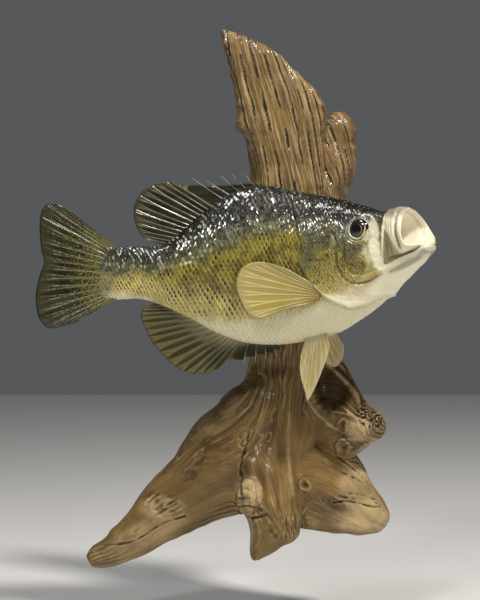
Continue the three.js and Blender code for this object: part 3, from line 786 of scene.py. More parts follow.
def scale_material():
    material, tree, shader = new_material("crappie_scales", **{
        "Specular IOR Level": 0.2, "Coat Weight": 0.8, "Coat Roughness": 0.06, "IOR": 1.45,
    })
    tints = bpy.context.scene.crappie_colours
    group = fish_markings(tree)
    spot = axes(tree, stored_vector(tree, "spot"))
    place = stored_vector(tree, "lie")
    lot = mask(tree, "lot")
    lively = inverse(tree, mask(tree, "calm"))
    ragged = scaled(tree, noise_at(tree, place, 1.1, 2), 1.4, -0.7)
    slanted = scaled(tree, spot["Y"], 0.22, spot["X"])
    length = times(tree, minus(tree, slanted, mix_value(tree, lot, 0.48, 0.6)), TICK_LENGTH)
    breadth = times(tree, spot["Y"], TICK_BREADTH)
    away = plus(tree, times(tree, length, length), times(tree, breadth, breadth))
    tick = times(
        tree, ramp(tree, plus(tree, away, ragged), 1.45, 0.85), group["Fleck"], ramp(tree, lot, 0.0, 0.3),
        lively, ramp(tree, lot, 0.05, 0.4, 0.3, 1.0),
    )
    # Painted highlight: the rear edge of each lively scale is painted lighter.
    rear_edge_highlight = times(tree, ramp(tree, spot["X"], 0.66, 0.92), lively, 0.4)
    # Silvery scales and painted glints: some scales of the upper flank and stalk are painted pale silver.
    silver_and_glint = times(
        tree, ramp(tree, lot, 0.6, 0.75), ramp(tree, away, 0.9, 0.5), group["Silver"], mask(tree, "bright"),
    )
    tube = times(
        tree, ramp(tree, math_node(tree, "ABSOLUTE", spot["Y"]), 0.42, 0.2), ramp(tree, spot["X"], 0.4, 0.5),
        mask(tree, "lateral"),
    )
    paint = painted(
        tree, group["Colour"],
        (rear_edge_highlight, toned(tree, group["Colour"], (1.5, 1.5, 1.35, 1))),
        (tick, colour(tints.mottle)),
        (silver_and_glint, colour(tints.silver_and_glint)),
        (tube, colour(tints.belly)),
    )
    uneven = times(tree, minus(tree, lot, 0.5), scaled(tree, lively, 0.44, 0.06))
    plug(tree, shader.inputs["Base Color"], toned(tree, paint, grey(tree, plus(tree, uneven, 0.96))))
    plug(tree, shader.inputs["Roughness"], mix_value(tree, lot, 0.26, 0.42))
    plug(tree, shader.inputs["Metallic"], times(tree, group["Silver"], 0.15))
    glitter = times(tree, noise_at(tree, place, 0.8, 2), scaled(tree, group["Silver"], 0.65, 0.35))
    bumpy(tree, shader, glitter, 0.0004, 0.9)
    return material


def fin_paint_group():
    """Rays, web, root and margin of a fin, from the blade's own numbers."""
    found = bpy.data.node_groups.get("fin_paint")
    if found:
        return found
    tree, given, out = new_group(
        "fin_paint",
        [(name, COLOUR) for name in ("Web", "Ray", "Root", "Margin", "Spine")]
        + [(name, FLOAT) for name in ("Root reach", "Ray fade", "Streaks", "Dashes")],
        [("Colour", COLOUR)],
    )
    blade = stored_vector(tree, "blade")
    along = axes(tree, blade)["Y"]
    ray = ramp(tree, mask(tree, "ray"), 0.45, 0.9)
    flecks = noise_at(tree, stretched(tree, blade, (2.0, 20.0, 1.0)), 1.0, 2)
    kept = inverse(tree, times(tree, inverse(tree, ramp(tree, flecks, 0.38, 0.6)), given["Streaks"]))
    fading = ramp(tree, along, given["Ray fade"], 1.05, 1.0, 0.0)
    clouds = noise_at(tree, stretched(tree, blade, (0.6, 5.0, 1.0)), 1.0, 3)
    rooted = ramp(tree, along, given["Root reach"], 0.02)
    dashes = noise_at(tree, stretched(tree, blade, (3.2, 36.0, 1.0)), 1.0, 2, 0.6)
    dashed = ramp(tree, plus(tree, dashes, times(tree, rooted, 0.34)), 0.68, 0.78)
    rooted = mix_value(tree, given["Dashes"], rooted, dashed)
    plug(tree, out["Colour"], painted(
        tree, given["Web"],
        (ramp(tree, clouds, 0.35, 0.7), given["Margin"]),
        (ramp(tree, along, 0.8, 0.99), given["Margin"]),
        (rooted, given["Root"]),
        (times(tree, ray, kept, fading, scaled(tree, rooted, -0.6, 1.0)), given["Ray"]),
        (times(tree, mask(tree, "spine"), ramp(tree, along, 0.5, 0.8), ray), given["Spine"]),
    ))
    return tree


def fin_material(name, tints, root_reach, ray_fade, streaks, dashes=0.0):
    """Skin of a fin, its tints given as web, ray, root and margin."""
    material, tree, shader = new_material(name, **{
        "Roughness": 0.32, "Specular IOR Level": 0.3, "Coat Weight": 0.35, "Coat Roughness": 0.14,
        "IOR": 1.45,
    })
    given = {part: colour(tint) for part, tint in zip(("Web", "Ray", "Root", "Margin"), tints)}
    given.update({
        "Root reach": root_reach, "Ray fade": ray_fade, "Streaks": streaks, "Dashes": dashes,
        "Spine": colour(bpy.context.scene.fin_colours.spine),
    })
    group = node(tree, "Group", given, node_tree=fin_paint_group())
    plug(tree, shader.inputs["Base Color"], group.outputs["Colour"])
    return material


PUPIL = 0.48  # edge of the pupil, as a share of the eye's radius
SOCKET_SHADE = (0.008, 0.006, 0.004, 1)
IRIS_STREAK = (0.008, 0.005, 0.003, 1)
PUPIL_BLACK = (0.001, 0.001, 0.001, 1)


def eye_material():
    material, tree, shader = new_material("glass_eye", **{
        "Roughness": 0.12, "Coat Weight": 1.0, "Coat Roughness": 0.01, "IOR": 1.5,
    })
    tints = bpy.context.scene.crappie_colours
    dial = stored_vector(tree, "dial")
    parts = axes(tree, dial)
    streaks = noise_at(tree, stretched(tree, dial, (3.0, 7.0, 1.0)), 2.0, 3)
    ragged = scaled(tree, streaks, 0.05, parts["X"])
    iris = painted(tree, colour(tints.iris), (ramp(tree, streaks, 0.35, 0.7), IRIS_STREAK))
    ring = times(
        tree, ramp(tree, ragged, PUPIL + 0.01, PUPIL + 0.03), ramp(tree, ragged, PUPIL + 0.11, PUPIL + 0.05),
        ramp(tree, parts["Z"], 0.1, 0.5, 0.0, 0.8),
    )
    plug(tree, shader.inputs["Base Color"], painted(
        tree, PUPIL_BLACK,
        (ramp(tree, ragged, PUPIL - 0.01, PUPIL + 0.01), iris),
        (ring, colour(tints.eye_ring)),
        (ramp(tree, parts["X"], 0.72, 0.82), SOCKET_SHADE),
    ))
    return material


def wood_material():
    material, tree, shader = new_material("varnished_driftwood", **{
        "Specular IOR Level": 0.25, "Coat Weight": 0.3, "Coat Roughness": 0.14, "IOR": 1.45,
    })
    settings = bpy.context.scene.driftwood_settings
    dark, light, pale_and_lit, orange, charred_and_hollow_shade, crack = (colour(getattr(settings, name)) for name in (
        "dark_wood", "light_wood", "pale_wood", "orange_wood", "charred_and_hollow_shade", "crack"))
    grain = stored_vector(tree, "grain")
    here = node(tree, "TexCoord").outputs["Object"]
    wide = noise_at(tree, stretched(tree, grain, (0.10, 0.008, 0.0)), 1.0, 3, 0.55, 0.4)
    fine = noise_at(tree, stretched(tree, grain, (0.9, 0.022, 0.0)), 1.0, 4, 0.65, 0.2)
    hair = noise_at(tree, stretched(tree, grain, (2.4, 0.06, 0.0)), 1.0, 3, 0.6)
    blots = noise_at(tree, here, 34.0, 3)
    clouds = ramp(tree, noise_at(tree, here, 60.0, 3, 0.6), 0.35, 0.62, 0.0, 0.6)
    worn, wear_and_relief_shade, seam = mask(tree, "worn"), mask(tree, "wear_and_relief_shade"), mask(tree, "seam")
    rougher = scaled(tree, worn, -0.75, 1.0)
    paint = painted(
        tree, dark,
        (ramp(tree, wide, 0.34, 0.64), light),
        (times(tree, worn, 0.7), light),
        (times(tree, clouds, 0.6), dark),
        (times(tree, ramp(tree, fine, 0.5, 0.62), rougher, 0.55), pale_and_lit),
        (times(tree, mask(tree, "orange"), 0.65), orange),
        # Red brown of the burl's charred end, and painted shade in the hollow.
        (times(tree, mask(tree, "charred_and_hollow_shade"), ramp(tree, blots, 0.35, 0.6, 0.6, 1.0)), charred_and_hollow_shade),
        # Pale patches: bare wood, and painted light on the lit ledge and roots.
        (times(tree, mask(tree, "pale_and_lit"), ramp(tree, blots, 0.3, 0.6, 0.6, 1.0), 0.95), pale_and_lit),
        # Ridges painted pale: worn wood, and painted highlight.
        (times(tree, ramp(tree, wear_and_relief_shade, 0.5, 1.0), 0.75), pale_and_lit),
    )
    streaky = ramp(tree, hair, 0.3, 0.6, -0.26, 0.08)
    # Painted shade in the creases and the hollow, with random blots and hair streaks of tone.
    shadowed = times(
        tree, ramp(tree, blots, 0.32, 0.62, 0.8, 1.05), ramp(tree, wear_and_relief_shade, 0.0, 0.5, 0.55, 1.0),
        scaled(tree, streaky, rougher, 1.0),
    )
    paint = toned(tree, paint, grey(tree, shadowed))
    # Painted shade: the shade patches darken the paint under the fish and at the slab's top.
    paint = painted(tree, paint, (mask(tree, "painted_shade"), toned(tree, paint, (0.5, 0.46, 0.42, 1))))
    line = math_node(tree, "ABSOLUTE", minus(tree, fine, 0.47))
    patchy = ramp(tree, noise_at(tree, here, 22.0, 2), 0.4, 0.6, 0.1, 0.75)
    lines = times(tree, ramp(tree, line, 0.02, 0.004), patchy, scaled(tree, rougher, 0.5, 0.5))
    # The third number of the grain is whole at each long crack of the slab.
    away = times(tree, math_node(tree, "PINGPONG", axes(tree, grain)["Z"], 0.5), SEAM_PITCH)
    narrow = ramp(tree, noise_at(tree, here, 90.0, 2), 0.35, 0.65, 0.1, 0.6)
    split = times(tree, ramp(tree, plus(tree, away, narrow), 0.95, 0.6), ramp(tree, seam, 0.15, 0.5))
    cracks = math_node(tree, "MAXIMUM", mask(tree, "crack"), split)
    plug(tree, shader.inputs["Base Color"], painted(tree, paint, (lines, crack), (cracks, crack)))
    plug(tree, shader.inputs["Roughness"], ramp(tree, fine, 0.3, 0.7, 0.66, 0.46))
    wet = times(tree, ramp(tree, away, 1.8, 0.6), seam)
    coat = math_node(tree, "ADD", ramp(tree, hair, 0.4, 0.6, 0.1, 0.45), wet, clamp=True)
    plug(tree, shader.inputs["Coat Weight"], coat)
    drops = times(tree, noise_at(tree, here, 480.0, 1), wet, 3.5)
    bumpy(tree, shader, plus(tree, scaled(tree, hair, 0.5, fine), drops), 0.0009, 0.7)
    return material


def floor_material():
    material, tree, shader = new_material("pale_floor", **{"Roughness": 0.8})
    clouds = noise_at(tree, node(tree, "TexCoord").outputs["Object"], 1.5, 2)
    plug(tree, shader.inputs["Base Color"], grey(tree, ramp(tree, clouds, 0.3, 0.7, 0.78, 0.8)))
    return material


# ------------------------------------------------------------------ skin


def skin_outside():
    """The whole body with its folds and plates, its straight points, and each point's way to the lips."""
    body = whole_body()
    points = body[..., :3]
    steps = np.linalg.norm(np.diff(points[::-1], axis=0), axis=-1)
    lips_away = np.concatenate([np.zeros((1, points.shape[1])), np.cumsum(steps, axis=0)])[::-1]
    out = relief(*np.moveaxis(points, -1, 0), lips_away)
    out = out * mix(0.4, 1, smooth(0, 3, lips_away)) - SKIN_DEPTH
    return body, points + outward_normals(body) * out[..., None], lips_away


def mouth_rows(body, outer):
    """Rows of points that carry the skin round the lips and down the throat."""
    lips = outer[-1]
    leaving = unit(lips - outer[-4])
    inner = lips + LIP * unit(MOUTH_MIDDLE - lips)
    rows = []
    for k in range(1, LIP_ROWS + 1):
        angle = math.pi * k / LIP_ROWS
        middle, half = (lips + inner) / 2, (lips - inner) / 2
        rows.append(middle + half * math.cos(angle) + leaving * 0.5 * LIP * math.sin(angle))
    around = body[-1, :, 3]
    side = np.where(np.arange(len(around)) < RIGHT_COLUMNS, -1, 1)
    angle = math.pi / 2 - side * math.pi * around
    throat = np.stack([
        np.full(around.shape, float(THROAT["x"])),
        THROAT["half_width"] * np.cos(angle),
        THROAT["z"] + THROAT["half_height"] * np.sin(angle),
    ], -1)
    hub = np.array([THROAT["x"], 0, THROAT["z"]])
    edge = rows[-1]
    for k in range(1, LINING_ROWS + 1):
        depth = k / LINING_ROWS
        wall = mix(edge, throat, depth)
        spread = unit((wall - mix(MOUTH_MIDDLE, hub, depth)) * [0.3, 1, 1])
        fold = 0.35 * noise(around * 9, depth * 3, 5) * math.sin(math.pi * depth)
        fullness = np.where(side < 0, -2.2, 0.2) * math.sin(math.pi * depth ** 0.6)
        fullness = fullness + 0.9 * math.exp(-((depth - 0.1) / 0.05) ** 2) * (side > 0)
        rows.append(wall + spread * (fullness + fold)[:, None])
    rows.append(np.repeat(hub[None], len(around), axis=0))
    return np.array(rows)


def add_skin():
    body, outer, lips_away = skin_outside()
    inner_rows = mouth_rows(body, outer)
    stub = outer[0] * [1, 0, 1] - [STUB_LENGTH, 0, 0]
    everything = np.concatenate([stub[None], outer, inner_rows])
    outside_rows = len(outer) + 1
    inside_rows = len(inner_rows)
    marked = np.concatenate([outer[:1], outer, np.repeat(outer[-1:], inside_rows, axis=0)])
    values = markings(marked[..., 0], marked[..., 2])
    near_lips = np.zeros(marked.shape[:2])
    near_lips[1:outside_rows] = smooth(7, 4, lips_away)
    near_lips[outside_rows:] = 1
    values["ivory"] = np.maximum(values["ivory"], near_lips)
    depth = np.zeros(marked.shape[:2])
    depth[outside_rows + LIP_ROWS:] = np.linspace(0, 1, inside_rows - LIP_ROWS)[:, None]
    mouth = np.zeros(marked.shape[:2])
    mouth[outside_rows:] = np.minimum(np.arange(1, inside_rows + 1) / LIP_ROWS, 1)[:, None]
    values["mouth"] = mouth
    values["mouth_depth"] = depth
    values["lie"] = everything.copy()
    skin = grid_piece("skin", bend(everything), values, uv_name="OFBake")
    finish_piece(skin, skin_material(), (
        "head", "gill_cover_right", "gill_cover_left", "upper_jaw", "lower_jaw", "trunk", "tail_stalk",
    ))


# ------------------------------------------------------------------ scales

SCALE_COLUMNS = (-1.0, -0.62, -0.22, 0.22, 0.62, 1.0)
SCALE_ROWS = (0.0, 0.32, 0.52, 0.7, 0.86, 1.0)
OVERLAP = 1.5  # length of a scale, in steps of the pattern
BREADTH = 1.12  # half width of a scale, in rows of the pattern
HEAD_SCALE_SIZE = 0.62  # of the head's small rough scales, as a share of the trunk's
HEAD_SCALE_LIFT = 0.34
BARE_SHARE = 0.12  # of the head's scales that are left out
UNREST = 2.8  # tilt of the shining scales, as a multiple of the calm ones'
PATCH_STEP = 0.003  # breadth of one scale's patch in the bake map
CROWN_AREA = [(-2, 70), (9, 60), (20, 66), (30, 84), (34, 130), (-6, 130)]
HEAD_SCALE_AREA = [
    (6, 125), (6, 60), (18, 50), (16, 36), (24, 22), (34, 12), (44, 7), (56, 9), (68, 18), (75, 25),
    (75, 36), (72, 48), (60, 51), (54, 60), (56, 74), (64, 80), (76, 84), (76, 125),
]


class Flank:
    """One side of the skin, read by length along the middle and distance round from it."""

    def __init__(self, points):
        self.points = points
        self.normals = unit(-np.cross(np.gradient(points, axis=0), np.gradient(points, axis=1)))
        middle = points.shape[1] // 2
        self.left = points[points.shape[0] // 2, middle, 1] > 0
        if self.left:
            self.normals = -self.normals
        steps = np.linalg.norm(np.diff(points[:, middle], axis=0), axis=-1)
        self.length = np.concatenate([[0], np.cumsum(steps)])
        widths = np.linalg.norm(np.diff(points, axis=1), axis=-1)
        self.reach = widths.sum(axis=1) / 2

    def read(self, along, around):
        """Point, normal and half girth at a length from the tail and a distance round from the middle."""
        rows, columns = self.points.shape[:2]
        row = np.interp(along, self.length, np.arange(rows))
        reach = np.interp(row, np.arange(rows), self.reach)
        column = np.clip((around / reach + 1) / 2, 0, 1) * (columns - 1)
        r = np.minimum(row.astype(int), rows - 2)
        c = np.minimum(column.astype(int), columns - 2)
        fr, fc = (row - r)[..., None], (column - c)[..., None]

        def read_from(grid):
            return mix(mix(grid[r, c], grid[r, c + 1], fc), mix(grid[r + 1, c], grid[r + 1, c + 1], fc), fr)

        return read_from(self.points), unit(read_from(self.normals)), reach


def scale_roots(flank, sizes, size_at, wanted):
    """Where each scale of one side grows from: length along, distance round, and its size."""
    roots = []
    along = 2.0
    while along < flank.length[-1]:
        place = flank.read(np.array([along]), np.array([0.0]))[0][0]
        size = float(size_at(place[0]))
        reach = float(np.interp(along, flank.length, flank.reach))
        rise = sizes.scale_row * size
        rows = int(reach / rise)
        for j in range(-rows, rows + 1):
            roots.append((along + 0.5 * sizes.scale_step * size * (j % 2), j * rise, size))
        along += sizes.scale_step * size
    roots = np.array(roots)
    x, _, z = flank.read(roots[:, 0], roots[:, 1])[0].T
    return roots[wanted(x, z)]


def on_trunk(x, z):
    crown = inside(CROWN_AREA, x, z)
    return ((gill_distance(x, z) < -1.2) | crown) & (x > -180 + 5 * noise(z / 5, x / 9, 7))


def on_head(x, z):
    eye = np.hypot(x - EYE_CENTRE[0], z - EYE_CENTRE[1])
    head = inside(HEAD_SCALE_AREA, x, z) & ~inside(CROWN_AREA, x, z) & (gill_distance(x, z) > 2.2)
    return head & (eye > 13.2) & (line_distance(CHEEK_EDGE, x, z) > 1.4)


def scale_shells(flank, roots, lift_by, flatness, calm, unrest, seed):
    """Points of every scale, as a blade with a low rim at its rear edge, and each scale's lot."""
    random = np.random.default_rng(seed)
    lot = random.random(len(roots))
    jitter = random.normal(0, 1, (4, len(roots), 1, 1))
    sizes = bpy.context.scene.crappie_sizes
    a, b = np.meshgrid(SCALE_ROWS, SCALE_COLUMNS, indexing="ij")
    size = roots[:, 2, None, None]
    rounded = a * (1 - 0.3 * b * b * a)
    along = roots[:, 0, None, None] + jitter[0] * 0.14 - (rounded - 0.5) * OVERLAP * sizes.scale_step * size
    narrow = 1 - 0.25 * smooth(0.7, 1, a)
    around = roots[:, 1, None, None] + jitter[1] * 0.12 + b * narrow * BREADTH * sizes.scale_row * size
    points, normals, _ = flank.read(along, around)
    rise = (lift_by * mix(0.75, 1.15, lot))[:, None, None]
    lift = mix(-0.3, rise, a ** 0.8) + flatness * (0.35 * np.sin(math.pi * a) - 0.4 * b * b * (1 - 0.3 * a))
    lift = lift + (0.13 * jitter[2] * b + 0.08 * jitter[3]) * a * size * (1 - 0.6 * calm) * unrest
    top = points + normals * lift[..., None]
    under = points[:, -1] + normals[:, -1] * -0.25
    return np.concatenate([top.reshape(len(roots), -1, 3), under], axis=1), lot


def scale_faces():
    rows, columns = len(SCALE_ROWS), len(SCALE_COLUMNS)
    faces = []
    for i in range(rows - 1):
        for j in range(columns - 1):
            k = i * columns + j
            faces.append((k, k + 1, k + columns + 1, k + columns))
    rim, low = (rows - 1) * columns, rows * columns
    for j in range(columns - 1):
        faces.append((rim + j, rim + j + 1, low + j + 1, low + j))
    return np.array(faces)


def scale_field(name, points, kind, seed):
    """The scales of one side: those of the trunk, or the small rough ones of the head."""
    flank = Flank(points)
    sizes = bpy.context.scene.crappie_sizes
    if kind == "trunk":
        roots = scale_roots(flank, sizes, lambda x: mix(0.7, 1, smooth(-150, -80, x))
                            * mix(1, 0.74, smooth(-5, 20, x)), on_trunk)
        centres = flank.read(roots[:, 0], roots[:, 1])[0]
        belly = smooth(9, -5, centres[:, 2] - height_at(BELLY_LINE, centres[:, 0]))
        lift_by = sizes.scale_lift * mix(0.8, 1, roots[:, 2]) * mix(1, 0.3, belly)
        flatness = 0.4 * mix(1, 0.25, belly)[:, None, None]
        calm = belly
        x, _, z = centres.T
        shining = np.maximum(smooth(-5, 7, z - height_at(FLANK_LINE, x)), smooth(-100, -140, x))
        unrest = mix(1, UNREST, shining)
        lateral = hump(z - height_at(LATERAL_LINE, x), 0, 2.0) * (x < 20) * mix(0.25, 0.8, hump(x, -93, 16))
        lateral = lateral * (0.5 + 0.5 * noise(x / 3, 0, 2))
        # Share of scales painted with silver glints, more toward the stalk.
        bright = mix(0.2, 0.85, smooth(-70, -110, x))
    else:
        roots = scale_roots(flank, sizes, lambda x: HEAD_SCALE_SIZE, on_head)
        roots = roots[np.random.default_rng(seed + 50).random(len(roots)) > BARE_SHARE]
        flatness = 0.3
        lateral, bright, lift_by, calm, unrest = (
            np.full(len(roots), value) for value in (0.0, 0.35, HEAD_SCALE_LIFT, 0.5, UNREST))
    shells, lot = scale_shells(
        flank, roots, lift_by, flatness, calm[:, None, None], unrest[:, None, None], seed)
    faces = scale_faces()
    if flank.left:
        faces = faces[:, ::-1]
    per = shells.shape[1]
    index = (faces[None] + np.arange(len(roots))[:, None, None] * per).reshape(-1, 4)
    piece = joined_copies(name, bend(shells.reshape(-1, 3)), index)
    centres, _, reach = flank.read(roots[:, 0], roots[:, 1])
    values = {key: np.repeat(v, per) for key, v in markings(centres[:, 0], centres[:, 2]).items()}
    if kind == "trunk":
        values["dark"] = np.zeros(len(values["dark"]))
    for key, value in (("calm", calm), ("lateral", lateral), ("bright", bright), ("lot", lot)):
        values[key] = np.repeat(value, per)
    a, b = np.meshgrid(SCALE_ROWS, SCALE_COLUMNS, indexing="ij")
    spot = np.stack([a, b, np.zeros(a.shape)], -1).reshape(-1, 3)
    spot = np.concatenate([spot, spot[-len(SCALE_COLUMNS):] + [0.1, 0, 0]])
    values["spot"] = np.tile(spot, (len(roots), 1))
    values["lie"] = shells.reshape(-1, 3)
    give_values(piece, values)
    place = np.stack([roots[:, 0] / flank.length[-1], 0.5 + 0.5 * roots[:, 1] / reach], -1)
    place = 0.01 + 0.98 * np.clip(place, 0, 1)
    patch = spot[:, :2] * [1 / 1.1, 0.5] - [0.5, 0]
    bake_map(piece, (place[:, None] + PATCH_STEP * patch[None]).reshape(-1, 2))
    return piece


def joined_copies(name, points, faces):
    """One mesh of many loose shells, given as points and four-sided faces."""
    mesh = bpy.data.meshes.new(name)
    mesh.from_pydata(points.tolist(), [], faces.tolist())
    shade_smooth(mesh)
    piece = bpy.data.objects.new(name, mesh)
    bpy.context.scene.collection.objects.link(piece)
    return piece


def bake_map(piece, places):
    """A UV map for baking, given as one place for each vertex."""
    layer = piece.data.uv_layers.new(name="OFBake")
    corners = np.empty(len(piece.data.loops), np.int32)
    piece.data.loops.foreach_get("vertex_index", corners)
    layer.data.foreach_set("uv", places[corners].reshape(-1).astype(np.float32))


def add_scales():
    outer = skin_outside()[1]
    right, left = outer[:, :RIGHT_COLUMNS], outer[:, RIGHT_COLUMNS - 1:][:, ::-1]
    material = scale_material()
    for name, points, kind, seed in (
        ("scales_right", right, "trunk", 11), ("scales_left", left, "trunk", 12),
        ("head_scales_right", right, "head", 13), ("head_scales_left", left, "head", 14),
    ):
        finish_piece(scale_field(name, points, kind, seed), material)


# ------------------------------------------------------------------ fins

FIN_ROOT = 2.6  # thickness where a fin grows from the body
FIN_EDGE = 0.6  # thickness of a fin at its margin
COLUMNS_PER_RAY = 16
BLADE_ROWS = 46
WEB_SHARE = 0.36  # half thickness of the web, as a share of the fin's
NEEDLE = 0.3  # share of the columns beside a spine that make its bare tip

DORSAL_FIN = {
    "root": [(-116, 0, 46), (-94, 0, 65), (-70, 0, 84)],
    "margin": [
        (-131, 0, 54.2), (-142, 0, 59.8), (-149, 0, 73), (-150, 0, 87),
        (-143.5, 0, 101), (-130, 0, 109.7), (-115, 0, 112.6),
    ],
    "sweep": 1.1,
    "rays": 15,
    "spines": [
        ((-60, 0, 91), (-91, 0, 109), (-97, 0, 116.5)),
        ((-53, 0, 94), (-77, 0, 108), (-83.4, 0, 114.6)),
        ((-45, 0, 97), (-65, 0, 109), (-70, 0, 119.4)),
        ((-38, 0, 98), (-54, 0, 110), (-59, 0, 120.8)),
        ((-29, 0, 99), (-43, 0, 111), (-46.6, 0, 120.9)),
        ((-20, 0, 99), (-31, 0, 110), (-35, 0, 113)),
    ],
}
ANAL_FIN = {
    "root": [(-120, 0, 2), (-90, 0, -14), (-62, 0, -28), (-46, 0, -34)],
    "margin": [
        (-132, 0, -3.4), (-141.6, 0, -8.5), (-143.5, 0, -16), (-138.8, 0, -28.3), (-133, 0, -39.7),
        (-122.8, 0, -52), (-110.6, 0, -63.4), (-97.4, 0, -69.2), (-84.2, 0, -69.4), (-69, 0, -65),
    ],
    "sweep": 1.25,
    "rays": 17,
    "spines": [
        ((-41, 0, -35), (-50, 0, -57), (-47.4, 0, -62)),
        ((-34, 0, -35), (-41, 0, -54), (-35.4, 0, -58.6)),
        ((-27, 0, -35), (-31, 0, -52), (-25, 0, -57.4)),
        ((-20, 0, -35), (-22, 0, -50), (-15.2, 0, -54.6)),
        ((-13, 0, -35), (-15, 0, -47), (-10.4, 0, -50.4)),
    ],
}
CAUDAL_FIN = {
    "root": [(-162, 0, 47), (-163, 0, 36), (-163, 0, 14), (-162, 0, 3)],
    "margin": [
        (-209.6, 0, 83.6), (-221, 0, 89.6), (-230, 0, 90.4), (-235, 0, 85), (-237.4, 0, 76),
        (-237.4, 0, 60), (-236, 0, 46), (-233.7, 0, 35.6), (-237.4, 0, 24), (-241, 0, 8),
        (-241, 0, -6), (-237.4, 0, -18.7), (-230, 0, -26.2), (-220, 0, -25.6), (-205, 0, -21.6),
    ],
    "sweep": 1,
    "rays": 20,
    "spines": [],
}
PECTORAL_FIN_RIGHT = {
    "root": [(33, -24.2, -1), (35, -24.5, 5), (36, -24.5, 11)],
    "margin": [
        (-1.9, -33, -7.4), (-18.6, -35, -13), (-31.8, -36, -16.7), (-43.6, -37, -12),
        (-51, -37.5, 0), (-55, -38, 11), (-54, -38, 21.3), (-47.8, -37.5, 30.6),
        (-33.9, -36.5, 35.2), (-20.6, -35.5, 34.3), (-1, -33, 29.6), (10, -31, 24.5),
    ],
    "sweep": 1,
    "rays": 13,
    "spines": [],
}
PECTORAL_FIN_LEFT = {
    "root": [(34, 20, -1), (36, 20, 4), (37, 20, 9)],
    "margin": [(2, 30, -9), (-14, 31, -14), (-23, 31, -15), (-27, 31, -10), (-24, 31.5, -3), (-6, 31, 4)],
    "sweep": 1,
    "rays": 9,
    "spines": [],
}
PELVIC_FIN_RIGHT = {
    "root": [(14, -8, -33), (24, -8, -30), (33, -9, -26)],
    "margin": [
        (11.5, -12, -50), (10, -14, -61), (11.5, -15, -73), (16, -17, -86), (19, -18, -94),
        (25, -17, -84.5), (32.4, -15, -67), (36.6, -13, -53), (38.4, -11, -43),
    ],
    "sweep": 1,
    "rays": 9,
    "spines": [],
}
PELVIC_FIN_LEFT = {
    "root": [(14, 7, -33), (24, 7, -30), (34, 8, -26)],
    "margin": [
        (13, 15, -46), (15, 24, -53), (20, 33, -60), (26, 40, -65),
        (33.5, 33, -58.5), (38.5, 24, -51), (41.5, 15, -43),
    ],
    "sweep": 1,
    "rays": 8,
    "spines": [],
}


def spine_base(foot, tip, notch):
    """Where a spine leaves the web, at the height of the notch beside it."""
    return mix(foot, tip, np.clip((notch[2] - foot[2]) / (tip[2] - foot[2]), 0.2, 0.9))


def fin_lines(fin):
    """Foot and tip of each column of a blade, its place in ray steps, and where the spines stand."""
    last = fin["rays"] - 1
    count = last * COLUMNS_PER_RAY + 1
    places = np.linspace(0, 1, count)
    feet = [curve(fin["root"], places)]
    tips = [curve(fin["margin"], places ** fin["sweep"])]
    steps = [places * last]
    spine_places = []
    foot_before, tip_before, place = feet[0][-1], tips[0][-1], float(last)
    for foot, notch, tip in fin["spines"]:
        foot, notch, tip = (np.array(point, float) for point in (foot, notch, tip))
        web = foot - [3, 0, 0]
        t = np.linspace(0, 1, COLUMNS_PER_RAY + 1)[1:, None]
        base = spine_base(foot_before, tip_before, notch) + [0.5, 0, 0]
        down = mix(tip_before, base, np.minimum(t / NEEDLE, 1))
        feet.append(mix(foot_before, web, t))
        tips.append(mix(down, notch, np.clip((t - NEEDLE) / (1 - NEEDLE), 0, 1)))
        base = spine_base(foot, tip, notch) - [0.5, 0, 0]
        across = mix(notch, base, np.minimum(t / (1 - NEEDLE), 1))
        feet.append(mix(web, foot, t))
        tips.append(mix(across, tip, np.clip((t - 1 + NEEDLE) / NEEDLE, 0, 1)))
        steps += [place + t[:, 0] * 0.5, place + 0.5 + t[:, 0] * 0.5]
        foot_before, tip_before = foot, tip
        place += 1
        spine_places.append(place)
    return np.concatenate(feet), np.concatenate(tips), np.concatenate(steps), spine_places


def ray_relief(steps, along, last_ray, spine_places, forks, breadth):
    """How strongly a ray shows, from 0 to 1, over columns and rows of a blade."""
    steps, along = np.meshgrid(steps, along, indexing="xy")
    part = steps - np.round(steps)
    spread = 0.2 * smooth(forks, 1, along)
    finer = 0.085 * smooth(mix(forks, 1, 0.5), 1, along)
    width = mix(breadth, breadth * 0.6, smooth(forks, 1, along))
    strongest = np.zeros(steps.shape)
    for first in (-1, 1):
        for second in (-1, 1):
            centre = first * spread + second * finer
            strongest = np.maximum(strongest, hump(part, centre, width))
    strongest *= steps < last_ray + 0.4
    for place in spine_places:
        strongest = np.maximum(strongest, hump(steps, place, 0.1))
    return strongest


